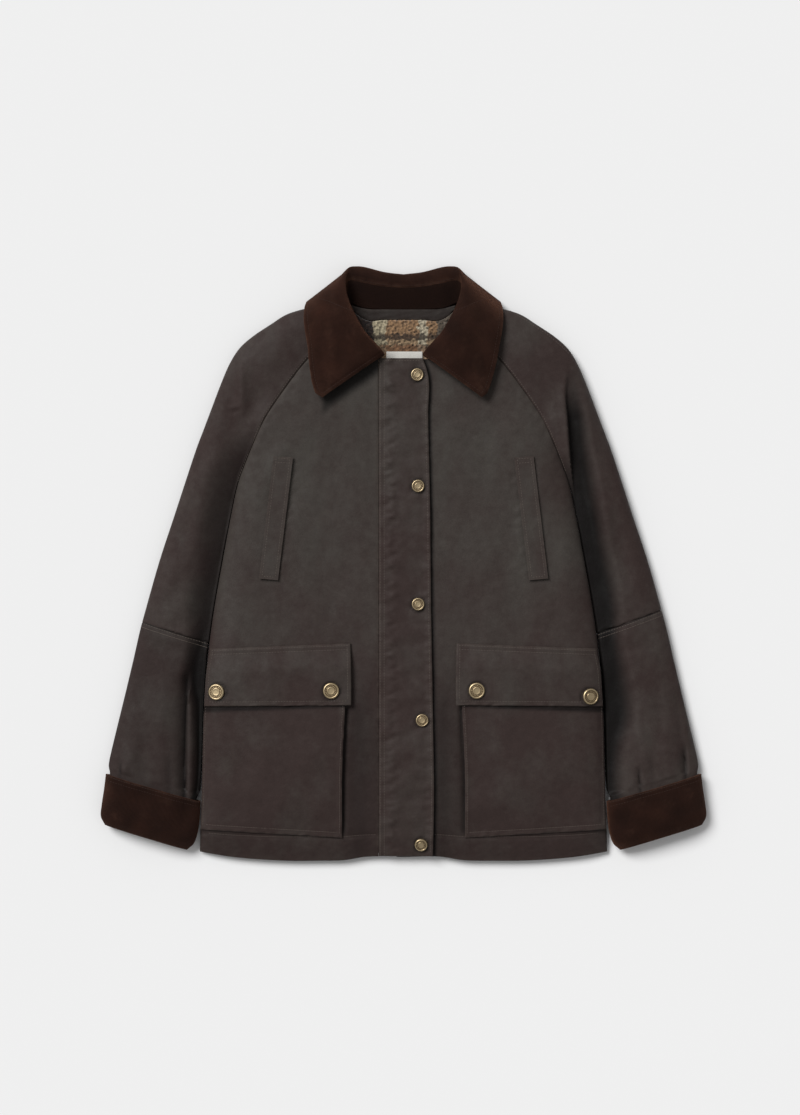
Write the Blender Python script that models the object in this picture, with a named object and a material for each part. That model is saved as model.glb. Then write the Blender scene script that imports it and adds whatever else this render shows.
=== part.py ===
"""A short waxed cotton jacket lying on its back with its front up, as separate cut pieces of cloth.

Lengths are in millimetres here and become metres when a mesh is made. +X is to the right when looking
down on the jacket, +Y points from hem to collar and +Z is up. The surface it lies on is z = 0. Tables and
functions describe the +X half, and the -X half is its mirror image.
"""

import bmesh
import bpy
import numpy as np

MM = 0.001

# Cloth
CLOTH = 1.6
CORDUROY = 2.4
FLEECE = 3.2
GAP = 0.3

# Side folds and crease
SIDE_FOLD = 9.0
SIDE_RADIUS = 34.0
UNDER_RADIUS = 22.0
UNDERARM_Y = 80.0
CREASE_RUN = 90.0
UNDER_CREASE_RUN = 60.0
SEAM_LEVEL = 21.0
SLEEVE_INNER_FOLD = 6.0
SLEEVE_INNER_RADIUS = 45.0
SLEEVE_OUTER_RADIUS = 38.0

# Front
NECK_Y = 236.5
BACK_NECK_Y = 296.0
PLACKET_SEAM_X = -29.2
PLACKET_TOP_Y = 238.0
PLACKET_BOTTOM_Y = -340.5
PLACKET_LIFT = 2.3
PLACKET_LIFT_RUN = 18.0
UNDERLAP_X = -8.0
HEM_FADE = 96.0
HEM_Y = -346.0

# Pocket and flap heights above the front, to their outer faces
POCKET_EDGE = 2.0
POCKET_FULL = 5.4
FLAP_EDGE = 2.1
FLAP_FULL = 7.6
POCKET_TOP_Y = -128.0

# Collar fall under the back
NECK_LIFT = 3.2
NECK_LIFT_START_Y = 250.0
NECK_LIFT_RUN = 22.0
STAND_SHARE = 0.8
ROLL_STAND_SHARE = 0.25
ROLL_FALL_SHARE = 0.16
FALL_BULGE = 1.6

# Snaps: cap diameter and seats
PLACKET_SNAP = 15.0
POCKET_SNAP = 19.0
SNAP_HEIGHT = 2.8
SNAP_SIDES = 12


class Table:
    """Sizes in rows, read between the rows along a smooth curve. The first column is the key."""

    def __init__(self, names, rows):
        names = names.split()
        self.columns = dict(zip(names, np.array(rows, dtype=float).T))
        self.keys = self.columns[names[0]]

    def at(self, name, key):
        keys, values = self.keys, self.columns[name]
        slopes = np.gradient(values, keys)
        key = np.clip(key, keys[0], keys[-1])
        i = np.clip(np.searchsorted(keys, key, side="right") - 1, 0, len(keys) - 2)
        step = keys[i + 1] - keys[i]
        t = (key - keys[i]) / step
        rise = values[i + 1] - values[i]
        bend_in = slopes[i] * step - rise
        bend_out = rise - slopes[i + 1] * step
        return values[i] + rise * t + t * (1 - t) * ((1 - t) * bend_in + t * bend_out)


# The front and back at height y: half width at the side fold, and the level of the front's middle.
BODY = Table("y half level", (
    (HEM_Y, 237.6, 9.5),
    (-320, 236.8, 15.5),
    (-274, 235.0, 20.0),
    (-228, 233.7, 22.0),
    (-181, 232.4, 22.6),
    (-135, 230.0, 22.8),
    (-89, 225.6, 23.0),
    (-42, 218.7, 23.0),
    (4, 210.5, 23.0),
    (50, 202.0, 23.0),
    (80, 196.0, 23.0),
))

# The raglan seam at height y, on the front and on the back.
RAGLAN = Table("y front back level", (
    (80, 196.0, 196.0, 23.0),
    (97, 191.5, 191.5, 23.0),
    (118, 183.5, 183.5, 23.0),
    (143, 173.0, 173.0, 23.0),
    (168, 161.0, 161.0, 23.0),
    (204, 137.0, 137.0, 22.6),
    (223.5, 122.6, 122.6, 22.3),
    (239.7, 108.6, 108.6, 22.0),
    (262, 83.0, 88.0, 21.6),
    (281, 60.0, 73.0, 21.0),
    (296, 52.0, 61.5, 21.0),
))

# The front's neckline above the centre.
NECKLINE = Table("y x", ((238, 28.5), (251.5, 40.0), (267, 52.0), (281, 56.0)))

# The hem's lowest line across the front.
HEM = Table("x y", (
    (0, -341.6), (46, -341.6), (68, -345.2), (100, HEM_Y), (136, HEM_Y), (171, -344.2), (199, -341.6),
    (238, -335.4),
))

# The placket's free edge.
PLACKET = Table("y edge", (
    (-340.5, 34.2), (-274, 35.4), (-181, 34.2), (-42, 31.9), (74, 30.7), (173, 28.6), (221, 28.0), (238, 22.5),
))

# The upper sleeve from neck to elbow: where its rows start up the seam, on the front and on the back, where
# they end at the outer edge, and the level between.
UPPER_SLEEVE = Table("row iy by ox oy level", (
    (0, 281.0, 296.0, 73.0, 299.8, 21.0),
    (1, 261.2, 267.1, 104.0, 298.5, 21.6),
    (2, 238.2, 238.2, 134.0, 290.8, 22.0),
    (3, 221.5, 221.5, 155.4, 277.8, 22.3),
    (4, 204.0, 204.0, 176.0, 264.0, 22.5),
    (5, 186.0, 186.0, 191.4, 250.0, 22.6),
    (6, 168.0, 168.0, 203.0, 231.4, 22.6),
    (7, 143.0, 143.0, 213.0, 208.0, 22.6),
    (8, 118.0, 118.0, 222.5, 183.0, 22.5),
    (9, 98.0, 98.0, 232.3, 157.0, 22.3),
    (10, 80.0, 80.0, 241.0, 134.0, 22.0),
    (11, 50.0, 50.0, 252.0, 101.0, 21.6),
    (12, 4.0, 4.0, 267.0, 55.0, 21.0),
    (13, -42.0, -42.0, 285.0, 0.0, 20.5),
    (14, -92.0, -92.0, 304.2, -68.0, 20.0),
))
SLEEVE_ROWS = np.array([0, 1, 2, 4, 6, 8, 10, 11, 12, 13, 14], dtype=float)
HEM_ROWS = [-328, -305, -274, -228, -165]

# The lower sleeve from elbow to cuff, with the heights of its underside and of its two folds. Its end is
# held up inside the cuff.
LOWER_SLEEVE = Table("row ix iy ox oy level under inner_fold outer_fold", (
    (0, 226.5, -92.6, 304.4, -68.6, 20.0, 0.0, 6.0, 9.0),
    (1, 230.9, -137.0, 314.5, -112.0, 20.0, 0.0, 6.0, 9.0),
    (2, 233.4, -183.0, 325.0, -156.0, 20.0, 0.0, 6.0, 9.0),
    (3, 234.6, -230.0, 336.5, -203.0, 20.4, 0.0, 6.0, 9.0),
    (4, 236.6, -262.0, 342.8, -232.0, 20.6, 0.4, 7.5, 10.5),
    (5, 240.4, -273.0, 341.5, -243.5, 20.4, 3.3, 12.0, 13.0),
    (6, 241.8, -287.0, 342.5, -257.5, 20.2, 3.4, 12.5, 13.5),
))

# The turned-back cuff from its upper edge to the fold at the wrist.
CUFF = Table("row ix iy ox oy level under inner_fold outer_fold", (
    (0, 236.0, -276.5, 346.2, -244.5, 27.0, 0.0, 12.5, 12.5),
    (1, 237.0, -294.0, 348.3, -262.0, 27.0, 0.0, 12.5, 12.5),
    (2, 239.0, -311.0, 351.0, -280.0, 26.5, 0.0, 12.5, 12.5),
    (3, 243.5, -325.0, 352.1, -293.5, 25.0, 0.0, 12.5, 12.5),
    (4, 252.0, -333.0, 347.5, -303.8, 21.0, 0.5, 11.0, 11.0),
))

# Sections across the collar from its front end round to the centre back: the seam at the neck (n), the
# roll line (r) with the levels either side of it (az on the stand, bz on the fall) and the outer edge (e).
COLLAR = Table("row nx ny nz az rx ry rz bz ex ey ez", (
    (0, 26.8, 238.2, 23.0, 25.8, 22.6, 241.5, 29.4, 33.0, 90.2, 192.0, 26.0),
    (1, 32.0, 245.0, 23.2, 28.6, 26.3, 246.4, 33.0, 36.4, 94.2, 197.5, 26.0),
    (2, 38.8, 252.6, 23.4, 31.4, 33.0, 254.0, 34.5, 38.0, 99.8, 211.0, 26.0),
    (3, 50.6, 268.0, 23.4, 32.4, 45.6, 268.5, 36.0, 39.5, 107.5, 236.0, 26.0),
    (4, 58.6, 281.8, 23.4, 31.4, 56.5, 288.0, 35.0, 38.5, 113.0, 263.0, 25.8),
    (5, 65.5, 291.5, 22.5, 29.4, 63.6, 304.3, 32.0, 35.0, 115.4, 281.0, 24.2),
    (6, 69.0, 297.0, 18.5, 26.4, 67.3, 320.0, 28.4, 30.4, 115.4, 293.0, 19.5),
    (7, 70.5, 301.8, 13.0, 21.4, 67.0, 334.0, 22.0, 22.4, 114.0, 301.8, 12.5),
    (8, 67.0, 303.8, 9.4, 17.0, 63.0, 344.0, 13.5, 8.4, 110.0, 305.5, 6.4),
    (9, 61.0, 303.8, 7.8, 14.4, 55.0, 346.2, 8.0, 1.0, 90.0, 299.4, 0.3),
    (10, 47.0, 298.2, 7.2, 13.4, 44.0, 345.2, 6.8, 0.0, 66.0, 289.0, 0.0),
    (11, 24.0, 296.6, 7.0, 13.2, 22.0, 339.6, 6.6, 0.0, 33.0, 283.0, 0.0),
    (12, 0.0, 296.6, 7.0, 13.2, 0.0, 337.0, 6.6, 0.0, 0.0, 281.0, 0.0),
))

# The facing inside the back neck, across from the centre.
FACING = Table("x top bottom", (
    (0, 296.1, 284.6), (24, 296.1, 284.4), (42, 296.6, 283.8), (51.5, 298.4, 288.6), (60.5, 301.0, 296.6),
))

# The fleece that shows inside the neck.
LINING = Table("y half", ((212, 88.0), (235, 78.0), (261, 64.0), (272, 57.0), (282.2, 41.0)))
LINING_TOP_Y = 282.2

# Corners of flat trims on the front: across from the centre, up from the middle.
WELT_TOP = ((128.0, 122.8), (150.4, 124.5))
WELT_BOTTOM = ((145.4, -19.3), (167.4, -17.3))

# A flap from its seam to its free edge, and a pocket from under the flap to its bottom: inner edge,
# and how far its outer edge stops short of the side fold, as an angle round that fold.
FLAP_SIDES = Table("y inner", ((-164.0, 60.6), (-150.0, 60.4), (-92.4, 61.3)))
POCKET_SIDES = Table("y inner", ((-318.4, 71.4), (-250, 71.4), (-165, 67.8), (POCKET_TOP_Y, 66.0)))
FLAP_OUTER_ANGLE = np.radians(26)
POCKET_OUTER_ANGLE = np.radians(18)
FLAP_OUTER_DROP = 6.4
POCKET_OUTER_RISE = 9.8

PLACKET_SNAPS = ((15.8, 218.8), (16.8, 89.9), (16.8, -47.0), (21.5, -181.5), (20.3, -326.5))
POCKET_SNAPS = {"right": ((215.2, -148.7), (83.8, -147.1)), "left": ((84.6, -147.0), (215.2, -153.9))}

COLOURS = {
    "waxed_cotton": ((0.050, 0.043, 0.037, 1), 0.55, 0.0),
    "corduroy": ((0.033, 0.014, 0.008, 1), 0.85, 0.0),
    "fleece": ((0.42, 0.27, 0.17, 1), 0.95, 0.0),
    "label": ((0.72, 0.70, 0.66, 1), 0.7, 0.0),
    "brass": ((0.36, 0.27, 0.14, 1), 0.38, 1.0),
}


def smoothstep(t):
    t = np.clip(t, 0, 1)
    return t * t * (3 - 2 * t)


def rounded(distance, radius):
    """How far a quarter ellipse has risen at this distance in from its edge, from 0 to 1."""
    t = np.clip(distance / radius, 0, 1)
    return np.sqrt(np.maximum(1 - (1 - t) ** 2, 0))


def body_half(y):
    """Half width of the front: the side fold below the underarm, the raglan seam above it."""
    return np.where(y <= UNDERARM_Y, BODY.at("half", y), RAGLAN.at("front", y))


def back_half(y):
    return np.where(y <= UNDERARM_Y, BODY.at("half", y), RAGLAN.at("back", y))


def body_level(y):
    return np.where(y <= UNDERARM_Y, BODY.at("level", y), RAGLAN.at("level", y))


def crease(y):
    """0 on the side folds below the underarm, 1 on the seam well above it."""
    return smoothstep((y - UNDERARM_Y) / CREASE_RUN)


def under_crease(y):
    return smoothstep((y - UNDERARM_Y) / UNDER_CREASE_RUN)


def side_fold(y):
    """Height of the side fold, which comes down with the level near the hem."""
    return np.minimum(SIDE_FOLD, 0.5 * body_level(y))


def edge_level(y):
    """Height of the front's outer edge."""
    fold = side_fold(y) + GAP / 2
    return fold + (SEAM_LEVEL - 1.0 - fold) * crease(y)


def neck_lift(y):
    """How far the back is held off the surface by the collar under it."""
    return NECK_LIFT * smoothstep((y - NECK_LIFT_START_Y) / NECK_LIFT_RUN)


def under_edge_level(y):
    """Height of the back's outer edge."""
    return neck_lift(y) + (side_fold(y) - GAP / 2) * (1 - under_crease(y))


def hem_shift(x, y):
    """The hem's line, fading out upwards."""
    fade = np.clip(1 - (y - HEM_Y) / HEM_FADE, 0, 1) ** 2
    return (HEM.at("y", np.abs(x)) - HEM_Y) * fade


def spaced(width, start_radius, end_radius, steps):
    """Distances across a row, closer together where its edges round over."""
    start, flat, end = steps
    turn = np.linspace(0, np.pi / 2, start + 1) if start else np.array([np.pi / 2])
    rise = start_radius * (1 - np.cos(turn)) if start else np.array([0.0])
    fall_turn = np.linspace(np.pi / 2, 0, end + 1) if end else np.array([np.pi / 2])
    fall = width - end_radius * (1 - np.cos(fall_turn)) if end else np.array([width])
    middle = np.linspace(rise[-1], fall[0], flat + 1)
    return np.concatenate([rise[:-1], middle, fall[1:]])


def bowed_row(start, end, levels, radii, steps):
    """Points across one row of cloth. It runs from start to end in plan, and from the first level through
    the middle one to the last, rounding over within the two radii."""
    start, end = np.array(start, dtype=float), np.array(end, dtype=float)
    width = np.linalg.norm(end - start)
    first, second = (min(radius, 0.48 * width) for radius in radii)
    across = spaced(width, first, second, steps)
    low, middle, high = levels
    z = np.full(len(across), float(middle))
    if steps[0]:
        z -= (middle - low) * (1 - rounded(across, first))
    if steps[2]:
        z -= (middle - high) * (1 - rounded(width - across, second))
    plan = start + np.outer(across / width, end - start)
    return np.column_stack([plan, z])


def grid_normals(grid, ring=False):
    """Unit normals of a grid of points, rows by columns."""
    if ring:
        around = np.roll(grid, -1, axis=1) - np.roll(grid, 1, axis=1)
    else:
        around = np.gradient(grid, axis=1)
    along = np.gradient(grid, axis=0)
    normals = np.cross(around, along)
    return normals / np.linalg.norm(normals, axis=2, keepdims=True)


def flatten_edge(normals, column, keep):
    """Turns one edge's normals level where keep is 0, so that two edges meet face to face there."""
    edge = normals[:, column]
    edge[:, 2] *= keep
    normals[:, column] = edge / np.linalg.norm(edge, axis=1, keepdims=True)


def material(slot):
    found = bpy.data.materials.get(slot)
    if found:
        return found
    colour, roughness, metallic = COLOURS[slot]
    made = bpy.data.materials.new(slot)
    made.use_nodes = True
    shader = made.node_tree.nodes["Principled BSDF"]
    shader.inputs["Base Color"].default_value = colour
    shader.inputs["Roughness"].default_value = roughness
    shader.inputs["Metallic"].default_value = metallic
    made.diffuse_color = colour
    return made


def add_object(name, bm, slot):
    bmesh.ops.recalc_face_normals(bm, faces=bm.faces)
    mesh = bpy.data.meshes.new(name)
    bm.to_mesh(mesh)
    bm.free()
    mesh.shade_smooth()
    mesh.set_sharp_from_angle(angle=np.radians(40))
    mesh.materials.append(material(slot))
    made = bpy.data.objects.new(name, mesh)
    bpy.context.scene.collection.objects.link(made)
    return made


def cloth(name, outer, wall, slot, normals=None, ring=False, mirror=False):
    """A closed wall of cloth from the points of its outer face, rows by columns, and its thickness."""
    if normals is None:
        normals = grid_normals(outer, ring)
    inner = outer - wall * normals
    faces_out, faces_in = (points * ((-1 if mirror else 1), 1, 1) * MM for points in (outer, inner))
    rows, columns = outer.shape[:2]
    bm = bmesh.new()
    skins = [[[bm.verts.new(p) for p in row] for row in points] for points in (faces_out, faces_in)]
    spans = columns if ring else columns - 1
    for skin in skins:
        for r in range(rows - 1):
            for c in range(spans):
                d = (c + 1) % columns
                bm.faces.new((skin[r][c], skin[r][d], skin[r + 1][d], skin[r + 1][c]))
    out, inside = skins
    for r in (0, rows - 1):
        for c in range(spans):
            d = (c + 1) % columns
            bm.faces.new((out[r][c], out[r][d], inside[r][d], inside[r][c]))
    if not ring:
        for c in (0, columns - 1):
            for r in range(rows - 1):
                bm.faces.new((out[r][c], out[r + 1][c], inside[r + 1][c], inside[r][c]))
    return add_object(name, bm, slot)


def front_grid(rows, inner_x, neck_x, steps):
    """The outer face of one front. It runs from inner_x at the centre, or the neckline above it."""
    points = []
    for y in rows:
        start = inner_x if y <= NECK_Y else max(NECKLINE.at("x", y), neck_x)
        end = body_half(y) - GAP / 2
        levels = (body_level(y), body_level(y), edge_level(y))
        points.append(bowed_row((start, y), (end, y), levels, (0, SIDE_RADIUS), (0, *steps)))
    grid = np.array(points)
    grid[..., 1] += hem_shift(grid[..., 0], grid[..., 1])
    return grid


def front(name, rows, inner_x, mirror):
    grid = front_grid(rows, inner_x, abs(inner_x), (5, 5))
    normals = grid_normals(grid)
    flatten_edge(normals, -1, crease(rows))
    return cloth(name, grid, CLOTH, "waxed_cotton", normals, mirror=mirror)


def back():
    rows = np.array([-343.0, *HEM_ROWS, *UPPER_SLEEVE.at("by", SLEEVE_ROWS[::-1])])
    points = []
    for y in rows:
        half = back_half(y) - GAP / 2
        edge, middle = under_edge_level(y), neck_lift(y)
        across = spaced(2 * half, UNDER_RADIUS, UNDER_RADIUS, (4, 6, 4))
        turned = 2 - rounded(across, UNDER_RADIUS) - rounded(2 * half - across, UNDER_RADIUS)
        points.append(np.column_stack([across - half, np.full(len(across), y), middle + (edge - middle) * turned]))
    grid = np.array(points)
    lowest = HEM_Y - rows[0]
    grid[..., 1] += hem_shift(grid[..., 0], grid[..., 1] + lowest)
    normals = -grid_normals(grid)
    for column in (0, -1):
        flatten_edge(normals, column, under_crease(rows))
    return cloth("back", grid, CLOTH, "waxed_cotton", normals)


def sleeve_edge(y, upper):
    """Height of the upper sleeve's inner edge, on its front or its back."""
    tucked = smoothstep((UNDERARM_Y - y) / 60)
    fold = side_fold(y) + (SLEEVE_INNER_FOLD - side_fold(y)) * tucked
    if upper:
        fold = fold + GAP / 2
        return fold + (SEAM_LEVEL - 1.0 - fold) * crease(y)
    return neck_lift(y) + (fold - GAP / 2) * (1 - under_crease(y))


def upper_sleeve_grid(rows, upper, steps):
    points = []
    for row in rows:
        ox, oy, level = (UPPER_SLEEVE.at(name, row) for name in ("ox", "oy", "level"))
        iy = UPPER_SLEEVE.at("iy" if upper else "by", row)
        ix = body_half(iy) if upper else back_half(iy)
        fold = SIDE_FOLD + (GAP / 2 if upper else -GAP / 2)
        middle = level if upper else neck_lift(iy) * (iy > UNDERARM_Y)
        radii = (SLEEVE_INNER_RADIUS, SLEEVE_OUTER_RADIUS) if upper else (UNDER_RADIUS, UNDER_RADIUS)
        levels = (sleeve_edge(iy, upper), middle, fold)
        points.append(bowed_row((ix + GAP / 2, iy), (ox, oy), levels, radii, steps))
    return np.array(points)


def upper_sleeve(name, upper, mirror):
    grid = upper_sleeve_grid(SLEEVE_ROWS, upper, (3, 2, 4))
    normals = grid_normals(grid) * (-1 if upper else 1)
    inner_y = UPPER_SLEEVE.at("iy" if upper else "by", SLEEVE_ROWS)
    flatten_edge(normals, 0, crease(inner_y) if upper else under_crease(inner_y))
    flatten_edge(normals, -1, np.zeros(len(SLEEVE_ROWS)))
    return cloth(name, grid, CLOTH, "waxed_cotton", normals, mirror=mirror)


def tube_grid(table, rows, steps):
    """A flattened tube of cloth: each row goes over the top from inner to outer edge and back beneath."""
    points = []
    for row in rows:
        at = {name: table.at(name, row) for name in table.columns}
        ends = (at["ix"], at["iy"]), (at["ox"], at["oy"])
        over_levels = (at["inner_fold"], at["level"], at["outer_fold"])
        under_levels = (at["inner_fold"], at["under"], at["outer_fold"])
        over = bowed_row(*ends, over_levels, (SLEEVE_INNER_RADIUS, SLEEVE_OUTER_RADIUS), steps)
        beneath = bowed_row(*ends, under_levels, (UNDER_RADIUS, UNDER_RADIUS), steps)
        points.append(np.concatenate([over, beneath[-2:0:-1]]))
    return np.array(points)


def lower_sleeve(name, mirror):
    grid = tube_grid(LOWER_SLEEVE, LOWER_SLEEVE.keys, (3, 2, 4))
    return cloth(name, grid, CLOTH, "waxed_cotton", -grid_normals(grid, ring=True), ring=True, mirror=mirror)


def cuff(name, mirror):
    grid = tube_grid(CUFF, CUFF.keys, (3, 2, 4))
    return cloth(name, grid, CORDUROY, "corduroy", -grid_normals(grid, ring=True), ring=True, mirror=mirror)


def collar_section(row, side):
    """Points across the collar at one section: down the stand from the neck, over the roll, to the edge."""
    value = {name: COLLAR.at(name, row) for name in COLLAR.columns}
    neck = np.array([value["nx"], value["ny"], value["nz"]])
    roll = np.array([value["rx"], value["ry"], value["rz"]])
    edge = np.array([value["ex"], value["ey"], value["ez"]])
    stand_end = roll + ROLL_STAND_SHARE * (neck - roll)
    stand_end[2] = value["az"]
    fall_start = roll + ROLL_FALL_SHARE * (edge - roll)
    fall_start[2] = value["bz"]
    pull = 2 * roll - (stand_end + fall_start) / 2
    t = np.linspace(0, 1, 5)[:, None]
    turn = (1 - t) ** 2 * stand_end + 2 * t * (1 - t) * pull + t ** 2 * fall_start
    t = np.linspace(0, 1, 4)[1:, None]
    fall = fall_start + t * (edge - fall_start)
    on_top = smoothstep((8 - row) / 3)
    fall[:, 2] += (FALL_BULGE * on_top * 4 * t * (1 - t))[:, 0]
    return neck * (side, 1, 1), stand_end * (side, 1, 1), np.concatenate([turn, fall]) * (side, 1, 1)


def collar():
    """The stand and the fall share the normals of one surface, and part along a line near the roll."""
    rows = np.arange(0, 13, 1.0)
    stations = [(row, 1) for row in rows] + [(row, -1) for row in rows[-2::-1]]
    surface, slits = [], []
    for row, side in stations:
        neck, stand_end, rest = collar_section(row, side)
        run = stand_end - neck
        slits.append(GAP / 2 * run / np.linalg.norm(run))
        surface.append(np.concatenate([[neck, neck + STAND_SHARE / 2 * run, neck + STAND_SHARE * run], rest]))
    surface, slits = np.array(surface), np.array(slits)
    normals = grid_normals(surface)
    stand, fall = surface[:, :3].copy(), surface[:, 2:].copy()
    stand[:, -1] -= slits
    fall[:, 0] += slits
    cloth("collar_stand", stand, CORDUROY, "corduroy", normals[:, :3])
    cloth("collar_fall", fall, CORDUROY, "corduroy", normals[:, 2:])


def inside_level(y):
    """Just above the back's inner face, whose rows are straight between their seam points."""
    rows = UPPER_SLEEVE.at("by", SLEEVE_ROWS[::-1])
    return np.interp(y, rows, neck_lift(rows)) + CLOTH + GAP


def neck_facing():
    across = np.linspace(-60.5, 60.5, 15)
    top, bottom = FACING.at("top", np.abs(across)), FACING.at("bottom", np.abs(across))
    grid = np.array([
        np.column_stack([across, bottom + share * (top - bottom), np.full(15, inside_level(BACK_NECK_Y) + CLOTH)])
        for share in (0.0, 0.5, 1.0)
    ])
    return cloth("neck_facing", grid, CLOTH, "waxed_cotton")


def neck_lining():
    rows = np.array([212.0, *UPPER_SLEEVE.at("by", np.array([2.0, 1.0])), LINING_TOP_Y])
    grid = []
    for y in rows:
        half = LINING.at("half", y)
        across = np.linspace(-half, half, 9)
        grid.append(np.column_stack([across, np.full(9, y), np.full(9, inside_level(y) + FLEECE)]))
    return cloth("neck_lining", np.array(grid), FLEECE, "fleece")


def neck_label():
    across = np.linspace(-20, 22, 3)
    grid = np.array([
        np.column_stack([across, np.full(3, y), np.full(3, inside_level(y) + FLEECE + 1.2)]) for y in (236.0, 247.0)
    ])
    return cloth("neck_label", grid, 0.8, "label")


def placket():
    rows = np.array([PLACKET_BOTTOM_Y, *HEM_ROWS, -92, 4, 118, 204, 224, PLACKET_TOP_Y])
    grid = []
    for y in rows:
        across = np.linspace(PLACKET_SEAM_X + GAP, PLACKET.at("edge", y), 6)
        across[1:4] = PLACKET_SEAM_X + np.array([PLACKET_LIFT_RUN / 3, PLACKET_LIFT_RUN * 2 / 3, PLACKET_LIFT_RUN])
        lift = PLACKET_LIFT * smoothstep((across - PLACKET_SEAM_X) / PLACKET_LIFT_RUN)
        grid.append(np.column_stack([across, np.full(6, y), body_level(y) + lift]))
    return cloth("placket", np.array(grid), CLOTH, "waxed_cotton")


def on_front(x_or_angle, y, height, by_angle=False):
    """A point this high above the front, at x from the centre or at an angle round the side fold, with the
    front's normal there."""
    half, level, edge = body_half(y), body_level(y), edge_level(y)
    if by_angle:
        turn = x_or_angle
    else:
        turn = np.arccos(np.clip(1 - (half - x_or_angle) / SIDE_RADIUS, 0, 1))
    flat = turn >= np.pi / 2 - 1e-9
    x = half - SIDE_RADIUS * (1 - np.cos(turn)) if by_angle or not flat else x_or_angle
    z = edge + (level - edge) * np.sin(turn)
    normal = np.array([np.cos(turn) / SIDE_RADIUS, 0, np.sin(turn) / (level - edge)])
    normal /= np.linalg.norm(normal)
    return np.array([x, y, z]) + height * normal, normal


def patch(name, rows, inner_table, outer_angle, outer_shift, height, mirror):
    """Cloth laid on the front, from its inner edge across and part way round the side fold."""
    grid = []
    flats, turns = 4, 4
    for y in rows:
        inner, flat_end = inner_table.at("inner", y), body_half(y) - SIDE_RADIUS
        points = []
        for step in range(flats + turns + 1):
            if step <= flats:
                x = inner + (flat_end - inner) * step / flats
                place, by_angle = x, False
            else:
                place = np.pi / 2 + (outer_angle - np.pi / 2) * (step - flats) / turns
                x, by_angle = body_half(y) - SIDE_RADIUS * (1 - np.cos(place)), True
            share = (x - inner) / (body_half(y) - inner)
            shifted = y + outer_shift(y) * share
            points.append(on_front(place, shifted, height(x, y, inner), by_angle)[0])
        grid.append(points)
    return cloth(name, np.array(grid), CLOTH, "waxed_cotton", mirror=mirror)


def pocket_height(x, y, inner):
    """A bellows pocket stands furthest off the front near its inner edge."""
    up = smoothstep((y + 318.4) / 40)
    out = 1 - smoothstep((x - inner - 60) / 90)
    return POCKET_EDGE + (POCKET_FULL - POCKET_EDGE) * up * out


def flap_height(x, y, inner):
    down = smoothstep((-92.4 - y) / 30)
    out = 1 - 0.5 * smoothstep((x - inner - 60) / 90)
    return FLAP_EDGE + (FLAP_FULL - FLAP_EDGE) * down * out


def pocket(name, mirror):
    rows = np.array([-318.4, -306, -290, -265, -210, -165, POCKET_TOP_Y])
    def lift(y):
        return POCKET_OUTER_RISE * smoothstep((-200 - y) / 118)
    return patch(name, rows, POCKET_SIDES, POCKET_OUTER_ANGLE, lift, pocket_height, mirror)


def flap(name, mirror):
    rows = np.array([-164.0, -148, -132, -118, -104, -92.4])
    def drop(y):
        return -FLAP_OUTER_DROP * smoothstep((y + 200) / 108)
    return patch(name, rows, FLAP_SIDES, FLAP_OUTER_ANGLE, drop, flap_height, mirror)


def welt(name, mirror):
    grid = []
    for share in np.linspace(0, 1, 5):
        ends = [np.array(t) * (1 - share) + np.array(b) * share for t, b in zip(WELT_TOP, WELT_BOTTOM)]
        grid.append([on_front(x, y, CLOTH + GAP)[0] for x, y in np.linspace(*ends, 3)])
    return cloth(name, np.array(grid), CLOTH, "waxed_cotton", mirror=mirror)


def snap(name, centre, normal, diameter):
    """A dished snap cap, its foot on the cloth at centre."""
    radius = diameter / 2
    profile = (
        (radius, 0.0), (radius, 0.55 * SNAP_HEIGHT), (0.88 * radius, SNAP_HEIGHT), (0.72 * radius, SNAP_HEIGHT),
        (0.62 * radius, 0.78 * SNAP_HEIGHT),
    )
    bm = bmesh.new()
    turns = np.arange(SNAP_SIDES) * 2 * np.pi / SNAP_SIDES
    side = np.array([normal[2], 0.0, -normal[0]])
    side /= np.linalg.norm(side)
    ahead = np.cross(normal, side)
    rings = []
    for r, h in profile:
        ring = [centre + r * (np.cos(a) * side + np.sin(a) * ahead) + h * normal for a in turns]
        rings.append([bm.verts.new(p * MM) for p in ring])
    bm.faces.new(rings[0][::-1])
    bm.faces.new(rings[-1])
    for low, high in zip(rings, rings[1:]):
        for i in range(SNAP_SIDES):
            j = (i + 1) % SNAP_SIDES
            bm.faces.new((low[i], low[j], high[j], high[i]))
    return add_object(name, bm, "brass")


def snaps():
    for number, (x, y) in enumerate(PLACKET_SNAPS, 1):
        centre = np.array([x, y, body_level(y) + PLACKET_LIFT + GAP])
        reach = PLACKET_SNAP / 2
        slope = (body_level(y + reach) - body_level(y - reach)) / PLACKET_SNAP
        normal = np.array([0.0, -slope, 1.0])
        snap(f"placket_snap_{number}", centre, normal / np.linalg.norm(normal), PLACKET_SNAP)
    for side, places in POCKET_SNAPS.items():
        sign = -1 if side == "right" else 1
        for number, (x, y) in enumerate(places, 1):
            height = flap_height(x, y, FLAP_SIDES.at("inner", y)) + GAP + 0.3
            centre, normal = on_front(x, y, height)
            mirror = np.array([sign, 1, 1])
            snap(f"pocket_snap_{side}_{number}", centre * mirror, normal * mirror, POCKET_SNAP)


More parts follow.
